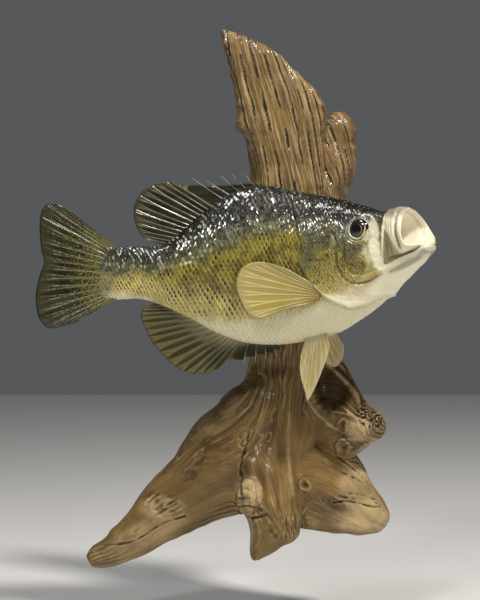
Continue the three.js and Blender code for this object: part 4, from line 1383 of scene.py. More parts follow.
def fin_blade(name, fin, material, ripple=0.5, ray_height=0.42, forks=0.45, breadth=0.115):
    feet, tips, steps, spine_places = fin_lines(fin)
    along = np.linspace(0, 1, BLADE_ROWS)
    middle = mix(feet[None], tips[None], along[:, None, None])
    rays = ray_relief(steps, along, fin["rays"] - 1, spine_places, forks, breadth)
    ends = np.minimum(np.arange(len(steps)), np.arange(len(steps))[::-1])
    rounding = np.sqrt(np.clip(ends / 2, 0, 1))[None] * np.sqrt(np.clip((1 - along) / 0.03, 0, 1))[:, None]
    rounding = rounding * np.sqrt(np.clip(along / 0.02, 0, 1))[:, None]
    web = WEB_SHARE * mix(FIN_ROOT, FIN_EDGE, np.clip(along * 1.6, 0, 1))[:, None]
    half = rounding * (web + rays * ray_height * mix(1.25, 0.5, along)[:, None])
    sway = ripple * along[:, None] * np.sin(math.pi * steps[None] * 0.9) * (1 - 0.6 * rays)
    flutter = noise(steps[None] * 0.35, along[:, None] * 1.5, len(name))
    sway = sway + ripple * 1.6 * along[:, None] ** 2 * flutter
    normals = unit(np.cross(np.gradient(middle, axis=0), np.gradient(middle, axis=1)))
    if normals[..., 1].mean() > 0:
        normals = -normals
    near = middle + normals * (half - sway)[..., None]
    far = middle - normals * (half + sway)[..., None]
    closed = np.concatenate([near, far[::-1]])
    blade = np.stack(np.broadcast_arrays(steps[None], along[:, None], 0.0), -1)
    spine = np.max([np.zeros(len(steps))] + [hump(steps, place, 0.13) for place in spine_places], axis=0)
    spine = np.broadcast_to(spine[None], rays.shape)
    values = {
        "ray": np.concatenate([rays, rays[::-1]]),
        "spine": np.concatenate([spine, spine]),
        "blade": np.concatenate([blade, blade[::-1]]),
    }
    finish_piece(grid_piece(name, bend(closed), values, uv_name="OFBake"), material, (name,))


def add_fins():
    tints = bpy.context.scene.fin_colours
    dark = fin_material(
        "dark_fin_skin", (tints.dark_web, tints.dark_ray, tints.dark_root, tints.dark_margin),
        root_reach=0.2, ray_fade=0.85, streaks=0.35)
    anal = fin_material(
        "anal_fin_skin", (tints.anal_web, tints.anal_ray, tints.anal_root, tints.dark_margin),
        root_reach=0.5, ray_fade=0.95, streaks=0.2)
    tail = fin_material(
        "tail_fin_skin", (tints.dark_web, tints.tail_ray, tints.tail_root, tints.dark_margin),
        root_reach=1.0, ray_fade=0.7, streaks=0.8, dashes=1.0)
    straw = fin_material(
        "straw_fin_skin", (tints.straw_web, tints.straw_ray, tints.straw_root, tints.straw_margin),
        root_reach=0.3, ray_fade=0.85, streaks=0.15)
    pearl = fin_material(
        "pearl_fin_skin", (tints.pearl_web, tints.pearl_ray, tints.pearl_root, tints.pearl_margin),
        root_reach=0.4, ray_fade=0.98, streaks=0.1)
    fin_blade("dorsal_fin", DORSAL_FIN, dark, forks=0.6)
    fin_blade("anal_fin", ANAL_FIN, anal, forks=0.7, breadth=0.3)
    fin_blade("caudal_fin", CAUDAL_FIN, tail, forks=0.25)
    fin_blade("pectoral_fin_right", PECTORAL_FIN_RIGHT, straw, ripple=0.35, ray_height=0.3)
    fin_blade("pectoral_fin_left", PECTORAL_FIN_LEFT, straw, ripple=0.25, ray_height=0.25)
    fin_blade("pelvic_fin_right", PELVIC_FIN_RIGHT, pearl, ripple=0.4, ray_height=0.4)
    fin_blade("pelvic_fin_left", PELVIC_FIN_LEFT, pearl, ripple=0.3, ray_height=0.3)


# ------------------------------------------------------------------ eyes

GAZE_BACK = 0.07  # how far behind the eye's middle its pupil stands, as a share of its radius


def add_eyes():
    material = eye_material()
    for name, side in (("eye_right", -1), ("eye_left", 1)):
        deselect()
        bpy.ops.mesh.primitive_uv_sphere_add(segments=64, ring_count=40, radius=1)
        eye = bpy.context.object
        eye.name = name
        eye.data.name = name
        ball = mesh_points(eye.data)
        set_points(eye.data, bend(np.stack([
            EYE_CENTRE[0] + EYE_RADIUS * ball[:, 0],
            side * (EYE_OFFSET + EYE_DEPTH * ball[:, 2]),
            EYE_CENTRE[1] + EYE_RADIUS * ball[:, 1],
        ], -1)))
        gaze = ball[:, 0] + GAZE_BACK
        dial = np.stack([np.hypot(gaze, ball[:, 1]), np.arctan2(ball[:, 1], gaze), ball[:, 0]], -1)
        give_values(eye, {"dial": dial})
        in_edit_mode(eye, close_seams)
        shade_smooth(eye.data)
        finish_piece(eye, material, (name,))


# ------------------------------------------------------------------ driftwood

# Limbs: each station gives one edge (x, z), the other edge (x, z), and how far its front and back
# stand from the wall. lanes says which strands of the grain run down the first and the second edge.
STEM = [
    (-69, 265, -65, 265, 50, 38), (-66.5, 253, -36, 254, 55, 33), (-63.5, 240, -10.5, 241, 58, 31),
    (-58.8, 222, 5.6, 222, 60, 29), (-54.4, 202, 26, 202, 62, 27), (-52.4, 184, 35, 184, 62, 25),
    (-54.4, 172, 36, 172, 62, 22), (-45, 158, 36, 158, 62, 18), (-40.2, 137, 37, 137, 63, 12),
    (-39, 110, 38, 110, 67, 2), (-38.5, 70, 41, 70, 72, -5), (-38.5, 15, 43, 15, 73, -5),
    (-39.5, -35, 44, -35, 71, -5), (-41.5, -64, 46, -66, 70, -5), (-50, -92, 44, -92, 72, -5),
    (-54, -120, 38, -120, 76, -5), (-55, -150, 26, -150, 80, -5), (-54, -185, 20, -188, 78, -5),
    (-47, -208, 10, -212, 66, -2),
]
SIDE_LOBE = [
    (43, 185.5, 53, 185.5, 40, 28), (37, 179, 60.6, 177, 47, 22), (33, 169, 65, 169, 50, 19),
    (30, 146, 64.5, 146, 53, 14), (28, 124, 62, 124, 56, 6), (24, 104, 55, 104, 60, 0),
    (20, 70, 50, 70, 62, -5),
]
LEFT_ROOT = [
    (-30, -64, 10, -120, 70, -5), (-46, -80, -10, -168, 74, -5), (-66, -99, -34, -205, 72, -5),
    (-95, -124, -57, -212, 66, -5), (-116.5, -158.8, -90.9, -225.5, 58, -4),
    (-143, -186, -117, -238.5, 52, -2), (-164, -213.5, -144, -253.5, 47, 1),
    (-184, -238, -166, -261.5, 42, 4), (-197.5, -247.5, -183, -265, 38, 8),
    (-202, -255, -196, -265, 32, 15),
]
FRONT_STUB = [
    (-46, -140, 8, -140, 80, 20), (-51, -170, 11, -170, 92, 20), (-51, -194, 10.5, -194, 98, 22),
    (-42, -213, 8.5, -214, 102, 26), (-39, -228, 7.5, -227, 101, 32), (-39.5, -240, -10, -236.5, 97, 42),
    (-39, -249.5, -30, -247.5, 90, 54),
]
RIGHT_ROOT = [
    (14, -130, 2, -222, 76, 0), (42, -140, 28, -227, 72, -2), (66, -156, 54, -229.5, 66, 2),
    (81, -181.5, 74, -230.5, 60, 6), (92.5, -202, 90, -226.5, 52, 14), (97.4, -212, 96, -219.5, 44, 26),
]
BURL = [
    (14, -44, 14, -140, 74, 0), (44, -52, 42, -154, 86, 4), (59, -78, 60, -152, 88, 10),
    (76, -102, 75, -143.5, 80, 18), (88, -112.5, 87.5, -135, 68, 26), (92.5, -120, 92, -127, 56, 38),
]
# stations, flutes, squareness at the start and at the end, lane of the first edge, lane of the
# second, length before its start
LIMBS = [
    (STEM, 0.1, (0.42, 0.85), 0.0, 1.0, 0),
    (SIDE_LOBE, 0.06, (0.55, 0.8), 1.0, 1.4, 80),
    (LEFT_ROOT, 0.12, (0.85, 0.85), -0.1, 0.9, 340),
    (FRONT_STUB, 0.1, (0.85, 0.85), 0.2, 0.8, 405),
    (RIGHT_ROOT, 0.1, (0.85, 0.85), 0.95, 0.35, 400),
    (BURL, 0.1, (0.9, 0.9), 1.2, 0.6, 330),
]
FLUTES_ROUND = 8
LANE_WIDTH = 90  # millimetres of grain across one lane
# Swellings: centre, half lengths, tilt in degrees.
KNOBS = [
    ((-56, -42, -102), (23, 24, 12), -44), ((-85, -40, -127), (20, 22, 9.5), -42),
    ((-171, -26, -233), (12, 15, 8), -40), ((-41, -86, -188), (12, 17, 18), 0),
    ((66, -64, -118), (15, 26, 14), 30),
]
DEPTH_STEP = 40.0  # between stations, where a curve runs through their depths
LIMB_SIDES = 96
LIMB_STEP = 2.5
SLAB_LEFT = -39  # x of the slab's left edge at its foot
SLAB_BREADTH = 77
SLAB_TOP = 265
SPLIT = -38  # height at which the slab is parted from the roots, behind the fish
ROOT_SPLIT = -46  # x at which the left root is parted from the others, in the crease beside the stub
# Lean of the slab's grain: height, and how far it goes sideways for each millimetre up.
SLAB_LEAN = [
    (0, 0.0), (20, 0.0), (80, 0.10), (120, 0.17), (160, 0.26), (200, 0.30), (250, 0.26), (280, 0.26),
]

# Side-view marks on the front of the driftwood: x, z, half length, half height, tilt, strength.
WORN = [
    (-122, -206, 70, 32, 36, 1), (-76, -172, 34, 30, 20, 0.95), (18, -152, 34, 52, 0, 0.95),
    (60, -214, 46, 14, 0, 0.9), (-14, -225, 30, 26, 0, 0.9), (42, -84, 14, 20, 0, 0.7),
    (70, -178, 30, 30, 0, 0.7), (-24, -164, 20, 26, 0, 0.8),
]
TORN = [
    (-127, -200, 20, 12, -20, 1), (-87, -150, 6, 18, -20, 0.8), (-100, -172, 12, 7, 30, 0.6),
    (-42, -192, 13, 16, 0, 0.9), (-9, -214, 19, 13, 0, 0.8), (34, -103, 12, 8, -40, 0.8),
    (-160, -232, 14, 7, 30, 0.5),
]
# Pale places: bare pale wood, and painted light where the lamp falls on the ledge and on the roots below the
# fish's shadow.
PALE_AND_LIT = [
    (-42, -184, 13, 16, 0, 1), (64, -124, 12, 12, -30, 1), (76, -182, 30, 36, 0, 1),
    (72, -214, 34, 13, 0, 1), (-150, -238, 50, 16, 30, 0.5), (-126, -204, 22, 12, 0, 0.6),
    (-70, -110, 30, 14, 44, 0.3),
]
# Painted shade: darker patches where the fish's shadow falls on the trunk and roots, and at the slab's top.
PAINTED_WOOD_SHADE = [
    (-46, 244, 40, 38, 0, 0.55), (0, -84, 48, 34, 0, 0.6), (-72, -112, 48, 30, 44, 0.6),
    (-4, -128, 46, 30, 0, 0.4), (-26, -158, 20, 26, 0, 0.45), (-96, -178, 40, 20, 44, 0.3),
    (40, -84, 26, 26, 0, 0.35),
]
CHARRED = [(76, -111, 15, 13, -30, 1), (70, -92, 18, 7, -50, 0.8)]
HOLLOW = (41, -82, 17, 22, -8, 1)
HOLLOW_DEPTH = 13
SEAM_PITCH = 8.5  # from one of the slab's long cracks to the next
STRAND_PITCHES = (14.0, 6.2, 2.6)  # breadths of the wide, middle and fine strands
# Side-view lines cut into or raised from the front: points, half breadth, height.
FURROWS = [
    ([(-52, -189), (-42, -187), (-34, -192)], 0.9, -1.8),
    ([(-52, -197), (-40, -195), (-30, -199)], 1.0, -2.2),
    ([(-50, -204), (-36, -207), (-24, -203)], 1.6, -3.0),
    ([(40, -196), (55, -195), (70, -199), (88, -203)], 1.1, -2.4),
    ([(44, -189), (60, -193), (75, -194), (84, -199)], 0.8, -1.6),
    ([(45, -153), (60, -164), (75, -179)], 0.8, -1.6),
    ([(47, -166), (62, -174), (79, -183)], 0.7, -1.4),
    ([(56, -157), (66, -160), (76, -170)], 0.6, -1.2),
    ([(55, -187), (70, -190), (85, -196)], 0.7, -1.4),
    ([(-186, -243), (-166, -240), (-146, -233), (-124, -219), (-104, -212)], 0.9, -1.8),
    ([(-42, -128), (-44, -140), (-49, -160), (-50, -184)], 1.3, -2.6),
    ([(49, -131), (56, -137), (61, -140)], 0.9, -2.2),
    ([(31, -60), (47, -74), (61, -92), (65, -102)], 1.9, 2.6),
    ([(43, -62), (66, -86), (74, -103)], 1.6, 2.2),
    ([(15, -97), (28, -112), (42, -124)], 1.8, 1.6),
    ([(53, -108), (60, -112), (66, -124)], 1.8, 1.8),
    ([(-2, -110), (-4, -140), (0, -185)], 2.6, 0.9),
]
KNOTS = [(48, -120, 5), (49.5, -143, 7), (13, -178, 5)]


def limb_rings(limb):
    """Points round a limb, ring by ring, with the grain's lane and length at each."""
    stations, flutes, squareness, first_lane, second_lane, start = limb
    table = np.array(stations, float)
    first = table[:, (0, 1)]
    second = table[:, (2, 3)]
    spans = np.linalg.norm(np.diff((first + second) / 2, axis=0), axis=1)
    length = spans.sum()
    rows = int(length / LIMB_STEP)
    t = np.linspace(0, 1, rows + 1)
    a, b = curve(first, t), curve(second, t)
    depth = curve(np.column_stack([np.arange(len(table)) * DEPTH_STEP, table[:, 4:]]), t)[:, 1:]
    angle = np.linspace(0, 2 * math.pi, LIMB_SIDES + 1)
    cosine, sine = np.cos(angle), np.sin(angle)
    later = smooth(0.3, 0.48, t)[:, None]
    square = mix(squareness[0], squareness[1], later)
    flute = 1 - flutes * (0.5 - 0.5 * np.cos(angle * FLUTES_ROUND)) * np.abs(sine) * square
    side = np.sign(cosine) * np.abs(cosine) ** square
    out = np.sign(sine) * np.abs(sine) ** square * flute
    middle = (a + b) / 2
    spread = b - middle
    flat = middle[:, None] + spread[:, None] * side[..., None]
    y = -mix(depth[:, 1:], depth[:, :1], (out + 1) / 2)
    rings = np.stack([flat[..., 0], y, flat[..., 1]], -1)
    lane = mix(second_lane, first_lane, (1 - cosine) / 2)
    lanes = np.broadcast_to(lane[None], rings.shape[:2])
    lengths = np.broadcast_to((start + t * length)[:, None], rings.shape[:2])
    return rings, lanes, lengths


def limb_piece(rings):
    caps = [np.repeat(ring.mean(axis=0)[None], len(ring), axis=0)[None] for ring in (rings[0], rings[-1])]
    closed = np.concatenate([caps[0], rings, caps[1]])
    return grid_piece("limb", closed * MM, {})


def knob_piece(centre, radii, tilt):
    deselect()
    bpy.ops.mesh.primitive_uv_sphere_add(segments=40, ring_count=24, radius=1, location=np.array(centre) * MM)
    knob = bpy.context.object
    knob.scale = np.array(radii) * MM
    knob.rotation_euler = (0, math.radians(tilt), 0)
    bpy.ops.object.transform_apply()
    return knob


SEAT_LOW, SEAT_HIGH = np.array([-260.0, -120.0]), np.array([160.0, 140.0])  # x, z
SEAT_CELL = 1.5
SEAT_GAP = 0.5  # between the fish's far side and the wood behind it
THINNEST = 1.0  # wood that is left in front of the wall
NOWHERE = -1e3  # depth where there is no fish


def seat_cells(points):
    return ((points[:, (0, 2)] - SEAT_LOW) / SEAT_CELL).astype(int)


def seat_map():
    """How far toward the wall the fish reaches, over a side-view grid."""
    depths = np.full(np.ceil((SEAT_HIGH - SEAT_LOW) / SEAT_CELL).astype(int), NOWHERE)
    for name in ("skin", "pectoral_fin_left", "pelvic_fin_left"):
        points = mesh_points(bpy.data.objects[name].data) / MM
        index = seat_cells(points)
        np.maximum.at(depths, (index[:, 0], index[:, 1]), points[:, 1])
    for _ in range(2):
        padded = np.pad(depths, 1, constant_values=NOWHERE)
        shifted = [padded[1 + i:padded.shape[0] - 1 + i, 1 + j:padded.shape[1] - 1 + j]
                   for i in (-1, 0, 1) for j in (-1, 0, 1)]
        depths = np.max(shifted, axis=0)
    return depths


def press_seat(points, depths):
    """Driftwood in front of the fish's far side goes back behind it."""
    index = seat_cells(points)
    known = np.all((index >= 0) & (index < depths.shape), axis=1)
    index = np.clip(index, 0, np.array(depths.shape) - 1)
    reach = np.where(known, depths[index[:, 0], index[:, 1]], NOWHERE)
    pressed = points.copy()
    pressed[:, 1] = np.maximum(points[:, 1], np.minimum(reach + SEAT_GAP, -THINNEST))
    return pressed


def nearest_grain(points, samples, lanes, lengths):
    """Lane and length of the grain at each point, from the nearest sample."""
    tree = kdtree.KDTree(len(samples))
    for k, sample in enumerate(samples):
        tree.insert(sample, k)
    tree.balance()
    hits = np.fromiter((tree.find(point)[1] for point in points), int, len(points))
    return lanes[hits], lengths[hits]


def smooth_over_edges(mesh, values, rounds):
    """Rows of values, evened out with those of the neighbours along the mesh's edges."""
    pairs = np.empty(len(mesh.edges) * 2, np.int32)
    mesh.edges.foreach_get("vertices", pairs)
    a, b = pairs.reshape(-1, 2).T
    count = np.bincount(a, minlength=len(values)) + np.bincount(b, minlength=len(values))
    for _ in range(rounds):
        for k in range(values.shape[1]):
            total = np.bincount(a, values[b, k], len(values)) + np.bincount(b, values[a, k], len(values))
            values[:, k] = mix(values[:, k], total / np.maximum(count, 1), 0.6)
    return values


def cut_away(piece, where, facing):
    """Cuts off what lies beyond a plane, and closes the cut."""
    def cut():
        bpy.ops.mesh.bisect(plane_co=where, plane_no=facing, use_fill=True, clear_outer=True)
    in_edit_mode(piece, cut)


def drop_strays(piece):
    """Takes out faces that a cut laid twice, and loose edges and points."""
    piece.data.validate()
    in_edit_mode(piece, bpy.ops.mesh.delete_loose)


def add_driftwood():
    settings = bpy.context.scene.driftwood_settings
    limbs = [limb_rings(limb) for limb in LIMBS]
    pieces = [limb_piece(rings) for rings, _, _ in limbs] + [knob_piece(*knob) for knob in KNOBS]
    samples = np.concatenate([rings[:, ::3].reshape(-1, 3) for rings, _, _ in limbs])
    lanes, lengths = (np.concatenate([limb[k][:, ::3].reshape(-1) for limb in limbs]) for k in (1, 2))
    deselect()
    for piece in pieces:
        piece.select_set(True)
    bpy.context.view_layer.objects.active = pieces[0]
    bpy.ops.object.join()
    wood = bpy.context.object
    wood.name = "driftwood_slab"
    voxel = settings.voxel * 1
    apply_modifier(wood, "REMESH", mode="VOXEL", voxel_size=voxel, use_smooth_shade=True)
    apply_modifier(wood, "SMOOTH", factor=0.6, iterations=8)
    points = mesh_points(wood.data) / MM
    lane, length = nearest_grain(points, samples, lanes, lengths)
    flow = smooth_over_edges(wood.data, np.column_stack([lane, length]), 30)
    across, along = slab_grain(points, flow[:, 0] * LANE_WIDTH, flow[:, 1])
    points, marks = carve(wood.data, points, across, along, settings)
    set_points(wood.data, press_seat(points, seat_map()) * MM)
    give_values(wood, marks)
    wood.data.update()
    cut_away(wood, (0, 0, 0), (0, 1, 0))
    wood.data.name = "driftwood_slab"
    roots = doubled(wood, "driftwood_roots")
    cut_away(wood, (0, 0, SPLIT * MM), (0, 0, -1))
    cut_away(roots, (0, 0, SPLIT * MM), (0, 0, 1))
    left = doubled(roots, "driftwood_left_root")
    cut_away(roots, (ROOT_SPLIT * MM, 0, 0), (-1, 0, 0))
    cut_away(left, (ROOT_SPLIT * MM, 0, 0), (1, 0, 0))
    material = wood_material()
    for piece in (wood, roots, left):
        drop_strays(piece)
        finish_piece(piece, material, ("driftwood",))


def doubled(piece, name):
    use(piece)
    bpy.ops.object.duplicate()
    copy = bpy.context.object
    copy.name = name
    copy.data.name = name
    return copy


def slab_grain(points, across, along):
    """Places across and along the grain.

    On the slab the grain leans with height and runs on round the sides, and lower down it follows
    the limbs.
    """
    heights, leans = np.array(SLAB_LEAN).T
    fine = np.linspace(heights[0], heights[-1], 200)
    drift = np.concatenate([[0], np.cumsum(np.interp(fine[1:], heights, leans) * np.diff(fine))])
    drift_at = np.interp(points[:, 2], fine, drift) - np.interp(85, fine, drift)
    slab = smooth(62, 92, points[:, 2])
    slab_across = (points[:, 0] - SLAB_LEFT + drift_at) * LANE_WIDTH / SLAB_BREADTH
    side = np.clip(2.5 * (slab_across / LANE_WIDTH - 0.5), -1, 1)
    slab_across = slab_across + 0.7 * side * (points[:, 1] + 40)
    limb_across = across + 0.7 * (points[:, 1] + 30)
    return mix(limb_across, slab_across, slab), mix(along, SLAB_TOP - points[:, 2], slab)


def strands(across, along, pitch, seed):
    """Ridges that run along the grain: their height, and the lane, whole at each crease."""
    wander = 0.6 * noise(across / (pitch * 4), along / (pitch * 26), seed)
    wander = wander + 0.15 * noise(across / (pitch * 1.5), along / (pitch * 12), seed + 3)
    lane = across / pitch + wander
    return np.abs(np.sin(math.pi * lane)) ** 0.55, lane


def carve(mesh, points, across, along, settings):
    """The driftwood's strands, cracks, torn and worn places, furrows, knots and hollow.

    Gives the moved points and the marks to paint by. Long cracks of the slab are painted from the
    third number of the grain, so the crack mark holds the others only.
    """
    x, y, z = points.T
    normals = mesh_vectors(mesh.vertex_normals, "vector")
    front = smooth(0.1, -0.4, normals[:, 1])
    slab = smooth(75, 100, z)
    worn = patches(WORN, x, z) * (1 - slab)
    torn = patches(TORN, x, z) * front
    (wide, _), (middle, lane), (fine, _) = (
        strands(across, along, pitch, seed) for pitch, seed in zip(STRAND_PITCHES, (1, 21, 41)))
    crease = np.round(lane)
    lift = mix(1.8, 0.5, slab) * (wide - 0.65) + mix(1.0, 0.3, slab) * (middle - 0.65)
    lift = lift + mix(0.6, 0.3, slab) * (fine - 0.65)
    lift = lift * (1 - 0.85 * worn)
    seam = strands(across, along, SEAM_PITCH, 61)[1] + 0.05 * noise(across / 5, along / 7, 12)
    seam_near = np.round(seam)
    dashed = smooth(-0.5, -0.15, noise(seam_near * 7.3, along / 18, 9)) * slab * front
    slab_crack = smooth(1.4, 0.4, np.abs(seam - seam_near) * SEAM_PITCH) * dashed
    crack = smooth(0.5, 0.8, noise(crease * 5.1, along / 24, 9)) * (1 - slab) * (1 - worn)
    crack = 0.7 * smooth(0.7, 0.2, np.abs(lane - crease) * STRAND_PITCHES[1]) * crack
    lift = lift - settings.crack_depth / MM * np.maximum(slab_crack, crack)
    fibres = 1 - np.abs(noise(across / 3, along / 13, 5) + 0.3 * noise(x / 4, z / 4, 6))
    lift = lift + torn * (2.2 * fibres ** 2 - 1.5 + 1.6 * noise(x / 9, y / 9, z / 9))
    crack = np.maximum(crack, 0.45 * torn * smooth(0.6, 0.35, fibres))
    spongy = 1 - np.abs(noise(x / 3.2, y / 3.2, z / 3.2))
    burnt = patches(CHARRED, x, z) * front
    lift = lift + burnt * (2.6 * spongy ** 2 - 1.6)
    crack = np.maximum(crack, 0.9 * burnt * smooth(0.7, 0.45, spongy))
    # Pale marks: bare wood and raised ridges, and painted light on the lit ledge and roots.
    pale_and_lit = patches(PALE_AND_LIT, x, z) * front
    for line, breadth, height in FURROWS:
        away = line_distance(line, x, z, 10)
        ragged = away + 0.8 * noise(x / 4, z / 4, len(line)) + 0.3
        shape = hump(ragged, 0, breadth) * front
        lift = lift + height * shape
        if height < 0:
            crack = np.maximum(crack, 0.65 * smooth(breadth, breadth * 0.4, ragged) * front)
        else:
            pale_and_lit = np.maximum(pale_and_lit, shape * min(1, height / 2))
    for kx, kz, radius in KNOTS:
        away = np.hypot((x - kx) * 1.15, (z - kz) * 0.85) + 1.5 * noise(x / 5, z / 5, kz)
        lift = lift + front * (0.9 * hump(away, radius, radius * 0.3) - 1.4 * smooth(radius * 0.7, 0, away))
        pit = smooth(radius * 0.4, radius * 0.15, away)
        ring = hump(away, radius * 1.35, 0.7) * smooth(8, -4, x - kx)
        crack = np.maximum(crack, 0.5 * front * np.maximum(pit, ring))
    edge = np.abs(normals[:, 0])
    lift = lift + 1.4 * noise(x / 26, y / 26, z / 26) + 0.9 * noise(x / 11, y / 11, z / 11) * (1 - 0.7 * slab)
    lift = lift + slab * edge * 1.5 * noise(z / 6, y / 10, 8)
    # The hollow is pressed in, and is also painted dark red brown and darker as its shade.
    sink = patches([HOLLOW], x, z) * front * smooth(-30, -50, y)
    soft = smooth_over_edges(mesh, lift[:, None].copy(), 12)[:, 0]
    lift = lift * smooth(-1.0, -6.0, y)
    moved = points + normals * lift[:, None]
    moved[:, 1] += HOLLOW_DEPTH * sink
    # Relief against its smoothed self: ridges are painted paler, as worn wood and as painted highlight, and
    # creases and the hollow darker, as painted shade.
    wear_and_relief_shade = 0.5 + (lift - soft) * mix(0.6, 0.7, slab) - 0.3 * sink
    marks = {
        "crack": crack,
        "wear_and_relief_shade": wear_and_relief_shade,
        "orange": smooth(30, 42, x) * smooth(95, 120, z),
        "worn": worn,
        "pale_and_lit": pale_and_lit,
        "charred_and_hollow_shade": np.maximum(burnt, 0.6 * sink),
        "seam": dashed,
        # Painted shade patches, darker under the fish and at the slab's top.
        "painted_shade": patches(PAINTED_WOOD_SHADE, x, z) * (0.85 + 0.3 * noise(x / 9, z / 9, 4)),
    }
    marks = {key: np.clip(mark, 0, 1) for key, mark in marks.items()}
    return moved, {"grain": np.stack([across, along, seam], -1), **marks}


# ------------------------------------------------------------------ stage


ROOM_TINT = (0.86, 0.88, 0.9, 1)
LIGHT_AIM = (0.0, -0.1, 0.02)
CAMERA_PLACE = (-0.05, -1.5, 0)
SENSOR_WIDTH = 36
PICTURE_HEIGHT = 600


def add_stage():
    settings = bpy.context.scene.stage_settings
    deselect()
    bpy.ops.mesh.primitive_grid_add(x_subdivisions=8, y_subdivisions=8, size=7,
                                    location=(0, 0, -settings.floor_drop))
    floor = bpy.context.object
    floor.name = "floor"
    bpy.ops.object.transform_apply()
    floor.data.materials.append(floor_material())
    world = bpy.data.worlds.new("studio")
    bpy.context.scene.world = world
    world.use_nodes = True
    background = world.node_tree.nodes["Background"]
    background.inputs[0].default_value = ROOM_TINT
    background.inputs[1].default_value = settings.room_light
    bpy.context.scene.view_settings.view_transform = "Standard"
    for lamp in (
        ("key", (0.74, -1.16, 1.84), 0.28, settings.key_light, (1.0, 0.95, 0.88)),
        ("band", (-0.65, -1.5, 1.25), 0.26, settings.band_light, (1.0, 0.98, 0.95)),
        ("top", (-0.25, -0.4, 1.2), 0.25, settings.top_light, (1.0, 0.98, 0.95)),
    ):
        add_light(*lamp)
    deselect()
    bpy.ops.object.camera_add(location=CAMERA_PLACE, rotation=(math.pi / 2, 0, 0))
    camera = bpy.context.object
    camera.data.sensor_width = SENSOR_WIDTH
    camera.data.lens = settings.focal_pixels * SENSOR_WIDTH / PICTURE_HEIGHT
    bpy.context.scene.camera = camera


def add_light(name, place, size, power, tint):
    light = bpy.data.lights.new(name, "AREA")
    light.size = size
    light.energy = power
    light.color = tint
    lamp = bpy.data.objects.new(name, light)
    bpy.context.scene.collection.objects.link(lamp)
    aim = np.subtract(LIGHT_AIM, place)
    lamp.location = place
    lamp.rotation_euler = (math.atan2(math.hypot(aim[0], aim[1]), -aim[2]), 0, math.atan2(-aim[0], aim[1]))


# ------------------------------------------------------------------ settings


def tint(name, description, default):
    return bpy.props.FloatVectorProperty(
        name=name, description=description, subtype="COLOR", size=3, min=0, max=1, default=default)


def length(name, description, default):
    return bpy.props.FloatProperty(
        name=name, description=description, subtype="DISTANCE", unit="LENGTH", default=default)


def number(name, description, default):
    return bpy.props.FloatProperty(name=name, description=description, default=default)


class CrappieSizes(bpy.types.PropertyGroup):
    """Sizes of the scales, in millimetres of the straight fish."""

    scale_step: number("Scale step", "Distance from one scale to the next along the body", 4.9)
    scale_row: number("Scale row", "Distance between rows of scales", 4.1)
    scale_lift: number("Scale lift", "How far the rear edge of a scale stands off the skin", 0.45)


class CrappieColours(bpy.types.PropertyGroup):
    """Paint of the skin, the scales, the mouth and the glass eyes."""

    back: tint("Back", "Slate of the back", (0.009, 0.0095, 0.009))
    upper_flank: tint("Upper flank", "Grey green of the upper flank", (0.10, 0.105, 0.06))
    flank: tint("Flank", "Olive gold of the flank", (0.265, 0.222, 0.038))
    lower_flank: tint("Lower flank", "Straw gold above the belly", (0.51, 0.43, 0.125))
    belly: tint("Belly", "Cream of the belly", (0.74, 0.68, 0.43))
    ivory: tint("Ivory", "White of the throat, jaws and eyelids", (0.86, 0.81, 0.58))
    gold: tint("Gold", "Brown gold of the cheek", (0.4, 0.33, 0.1))
    peach: tint("Peach", "Warm tint below the cheek", (0.56, 0.41, 0.21))
    slate: tint("Slate", "Olive slate behind the eye", (0.10, 0.10, 0.062))
    brown: tint("Brown", "Brown clouds of flank and head", (0.09, 0.07, 0.024))
    membrane: tint("Membrane", "Olive skin between the jaws", (0.31, 0.27, 0.12))
    # Silvery scales, and painted glints.
    silver_and_glint: tint("Silver", "Silver flecks of upper flank and stalk", (0.42, 0.42, 0.35))
    mottle: tint("Mottle", "Dark brown of the flecks", (0.03, 0.024, 0.010))
    mouth: tint("Mouth", "Cream of the mouth lining", (0.86, 0.82, 0.68))
    # Darker colour of the deep mouth and the fold inside the lips, as painted shade.
    throat: tint("Throat", "Shade of the throat", (0.46, 0.34, 0.21))
    iris: tint("Iris", "Brown of the iris", (0.03, 0.017, 0.008))
    eye_ring: tint("Eye ring", "Pale ring round the pupil", (0.5, 0.38, 0.18))


class FinColours(bpy.types.PropertyGroup):
    """Paint of the fins."""

    dark_web: tint("Dark web", "Web of the dorsal and tail fins", (0.008, 0.007, 0.003))
    dark_ray: tint("Dark fin ray", "Rays of the dorsal fin", (0.2, 0.17, 0.09))
    dark_root: tint("Dark fin root", "Root of the dorsal fin", (0.02, 0.018, 0.010))
    dark_margin: tint("Dark fin margin", "Margin of the dark fins", (0.026, 0.026, 0.011))
    tail_ray: tint("Tail ray", "Rays of the tail", (0.21, 0.185, 0.07))
    tail_root: tint("Tail root", "Root of the tail", (0.13, 0.12, 0.035))
    anal_web: tint("Anal fin web", "Web of the anal fin", (0.03, 0.026, 0.009))
    anal_ray: tint("Anal fin ray", "Rays of the anal fin", (0.12, 0.10, 0.032))
    anal_root: tint("Anal fin root", "Root of the anal fin", (0.36, 0.32, 0.18))
    spine: tint("Spine", "Hard spines of the dark fins", (0.55, 0.52, 0.40))
    straw_web: tint("Straw web", "Web of the breast fins", (0.35, 0.27, 0.065))
    straw_ray: tint("Straw ray", "Rays of the breast fins", (0.56, 0.485, 0.22))
    straw_root: tint("Straw root", "Root of the breast fins", (0.30, 0.215, 0.045))
    straw_margin: tint("Straw margin", "Margin of the breast fins", (0.35, 0.285, 0.10))
    pearl_web: tint("Pearl web", "Web of the pelvic fin", (0.36, 0.275, 0.10))
    pearl_ray: tint("Pearl ray", "Rays of the pelvic fin", (0.52, 0.455, 0.25))
    pearl_root: tint("Pearl root", "Root of the pelvic fin", (0.52, 0.465, 0.28))
    pearl_margin: tint("Pearl margin", "Margin of the pelvic fin", (0.42, 0.37, 0.2))


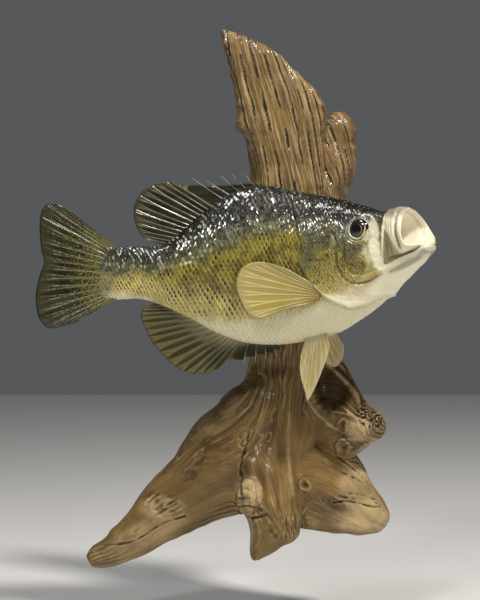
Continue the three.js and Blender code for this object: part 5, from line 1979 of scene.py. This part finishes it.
class DriftwoodSettings(bpy.types.PropertyGroup):
    """Fineness and colours of the driftwood."""

    voxel: length("Fineness", "Size of the driftwood's faces", 0.00105)
    crack_depth: length("Crack depth", "Depth of the cracks along the grain", 0.0016)
    light_wood: tint("Light wood", "Golden tan of the wood", (0.24, 0.148, 0.044))
    dark_wood: tint("Dark wood", "Brown streaks of the wood", (0.095, 0.054, 0.017))
    # Also painted as light on the lit ledge and roots.
    pale_wood: tint("Pale wood", "Pale strands and bare ledges", (0.53, 0.39, 0.19))
    orange_wood: tint("Orange wood", "Orange brown of the side lobe", (0.16, 0.083, 0.025))
    crack: tint("Crack", "Dark of the cracks and pits", (0.012, 0.007, 0.003))
    # Also painted in the burl's hollow as its shade.
    charred_and_hollow_shade: tint("Charred", "Red brown of the burl's hollow and end", (0.045, 0.02, 0.008))


class StageSettings(bpy.types.PropertyGroup):
    """Camera and light."""

    floor_drop: length("Floor drop", "How far the floor lies below the wall flat's middle", 0.32)
    focal_pixels: number("Focal length", "Focal length in pixels of a picture 600 high", 1478.9)
    room_light: number("Room light", "Strength of the pale room", 0.11)
    key_light: number("Key light", "Power of the main light", 52)
    band_light: number("Band light", "Power of the light that glints on the flank", 9)
    top_light: number("Top light", "Power of the light above", 5)


# ------------------------------------------------------------------ operators


class CRAPPIE_OT_skin(bpy.types.Operator):
    """Add the skin of the head, mouth, trunk and tail stalk"""

    bl_idname = "crappie.skin"
    bl_label = "Skin"

    def execute(self, context):
        add_skin()
        return {"FINISHED"}


class CRAPPIE_OT_scales(bpy.types.Operator):
    """Add the scales over both flanks"""

    bl_idname = "crappie.scales"
    bl_label = "Scales"

    def execute(self, context):
        add_scales()
        return {"FINISHED"}


class CRAPPIE_OT_fins(bpy.types.Operator):
    """Add the seven fins"""

    bl_idname = "crappie.fins"
    bl_label = "Fins"

    def execute(self, context):
        add_fins()
        return {"FINISHED"}


class CRAPPIE_OT_eyes(bpy.types.Operator):
    """Add the glass eyes"""

    bl_idname = "crappie.eyes"
    bl_label = "Eyes"

    def execute(self, context):
        add_eyes()
        return {"FINISHED"}


class CRAPPIE_OT_driftwood(bpy.types.Operator):
    """Add the driftwood that carries the fish"""

    bl_idname = "crappie.driftwood"
    bl_label = "Driftwood"

    def execute(self, context):
        add_driftwood()
        return {"FINISHED"}


class CRAPPIE_OT_stage(bpy.types.Operator):
    """Add the floor, the lights and the camera"""

    bl_idname = "crappie.stage"
    bl_label = "Stage"

    def execute(self, context):
        add_stage()
        return {"FINISHED"}


OPERATORS = (
    CRAPPIE_OT_skin, CRAPPIE_OT_scales, CRAPPIE_OT_fins,
    CRAPPIE_OT_eyes, CRAPPIE_OT_driftwood, CRAPPIE_OT_stage,
)
SETTINGS = {
    "crappie_sizes": CrappieSizes,
    "crappie_colours": CrappieColours,
    "fin_colours": FinColours,
    "driftwood_settings": DriftwoodSettings,
    "stage_settings": StageSettings,
}


class CRAPPIE_PT_panel(bpy.types.Panel):
    """Pieces of the mounted fish, in the order in which they are added"""

    bl_idname = "CRAPPIE_PT_panel"
    bl_label = "Mounted fish"
    bl_space_type = "VIEW_3D"
    bl_region_type = "UI"
    bl_category = "Mounted fish"

    def draw(self, context):
        for operator in OPERATORS:
            self.layout.operator(operator.bl_idname)
        for key, group in SETTINGS.items():
            settings = getattr(context.scene, key)
            box = self.layout.box()
            for name in group.__annotations__:
                box.prop(settings, name)


def register():
    for group in SETTINGS.values():
        bpy.utils.register_class(group)
    for key, group in SETTINGS.items():
        setattr(bpy.types.Scene, key, bpy.props.PointerProperty(type=group))
    for operator in OPERATORS:
        bpy.utils.register_class(operator)
    bpy.utils.register_class(CRAPPIE_PT_panel)


def unregister():
    bpy.utils.unregister_class(CRAPPIE_PT_panel)
    for operator in reversed(OPERATORS):
        bpy.utils.unregister_class(operator)
    for key in SETTINGS:
        delattr(bpy.types.Scene, key)
    for group in reversed(list(SETTINGS.values())):
        bpy.utils.unregister_class(group)


def main():
    register()
    bpy.ops.crappie.skin()
    bpy.ops.crappie.scales()
    bpy.ops.crappie.fins()
    bpy.ops.crappie.eyes()
    bpy.ops.crappie.driftwood()
    bpy.ops.crappie.stage()


if __name__ == "__main__":
    main()
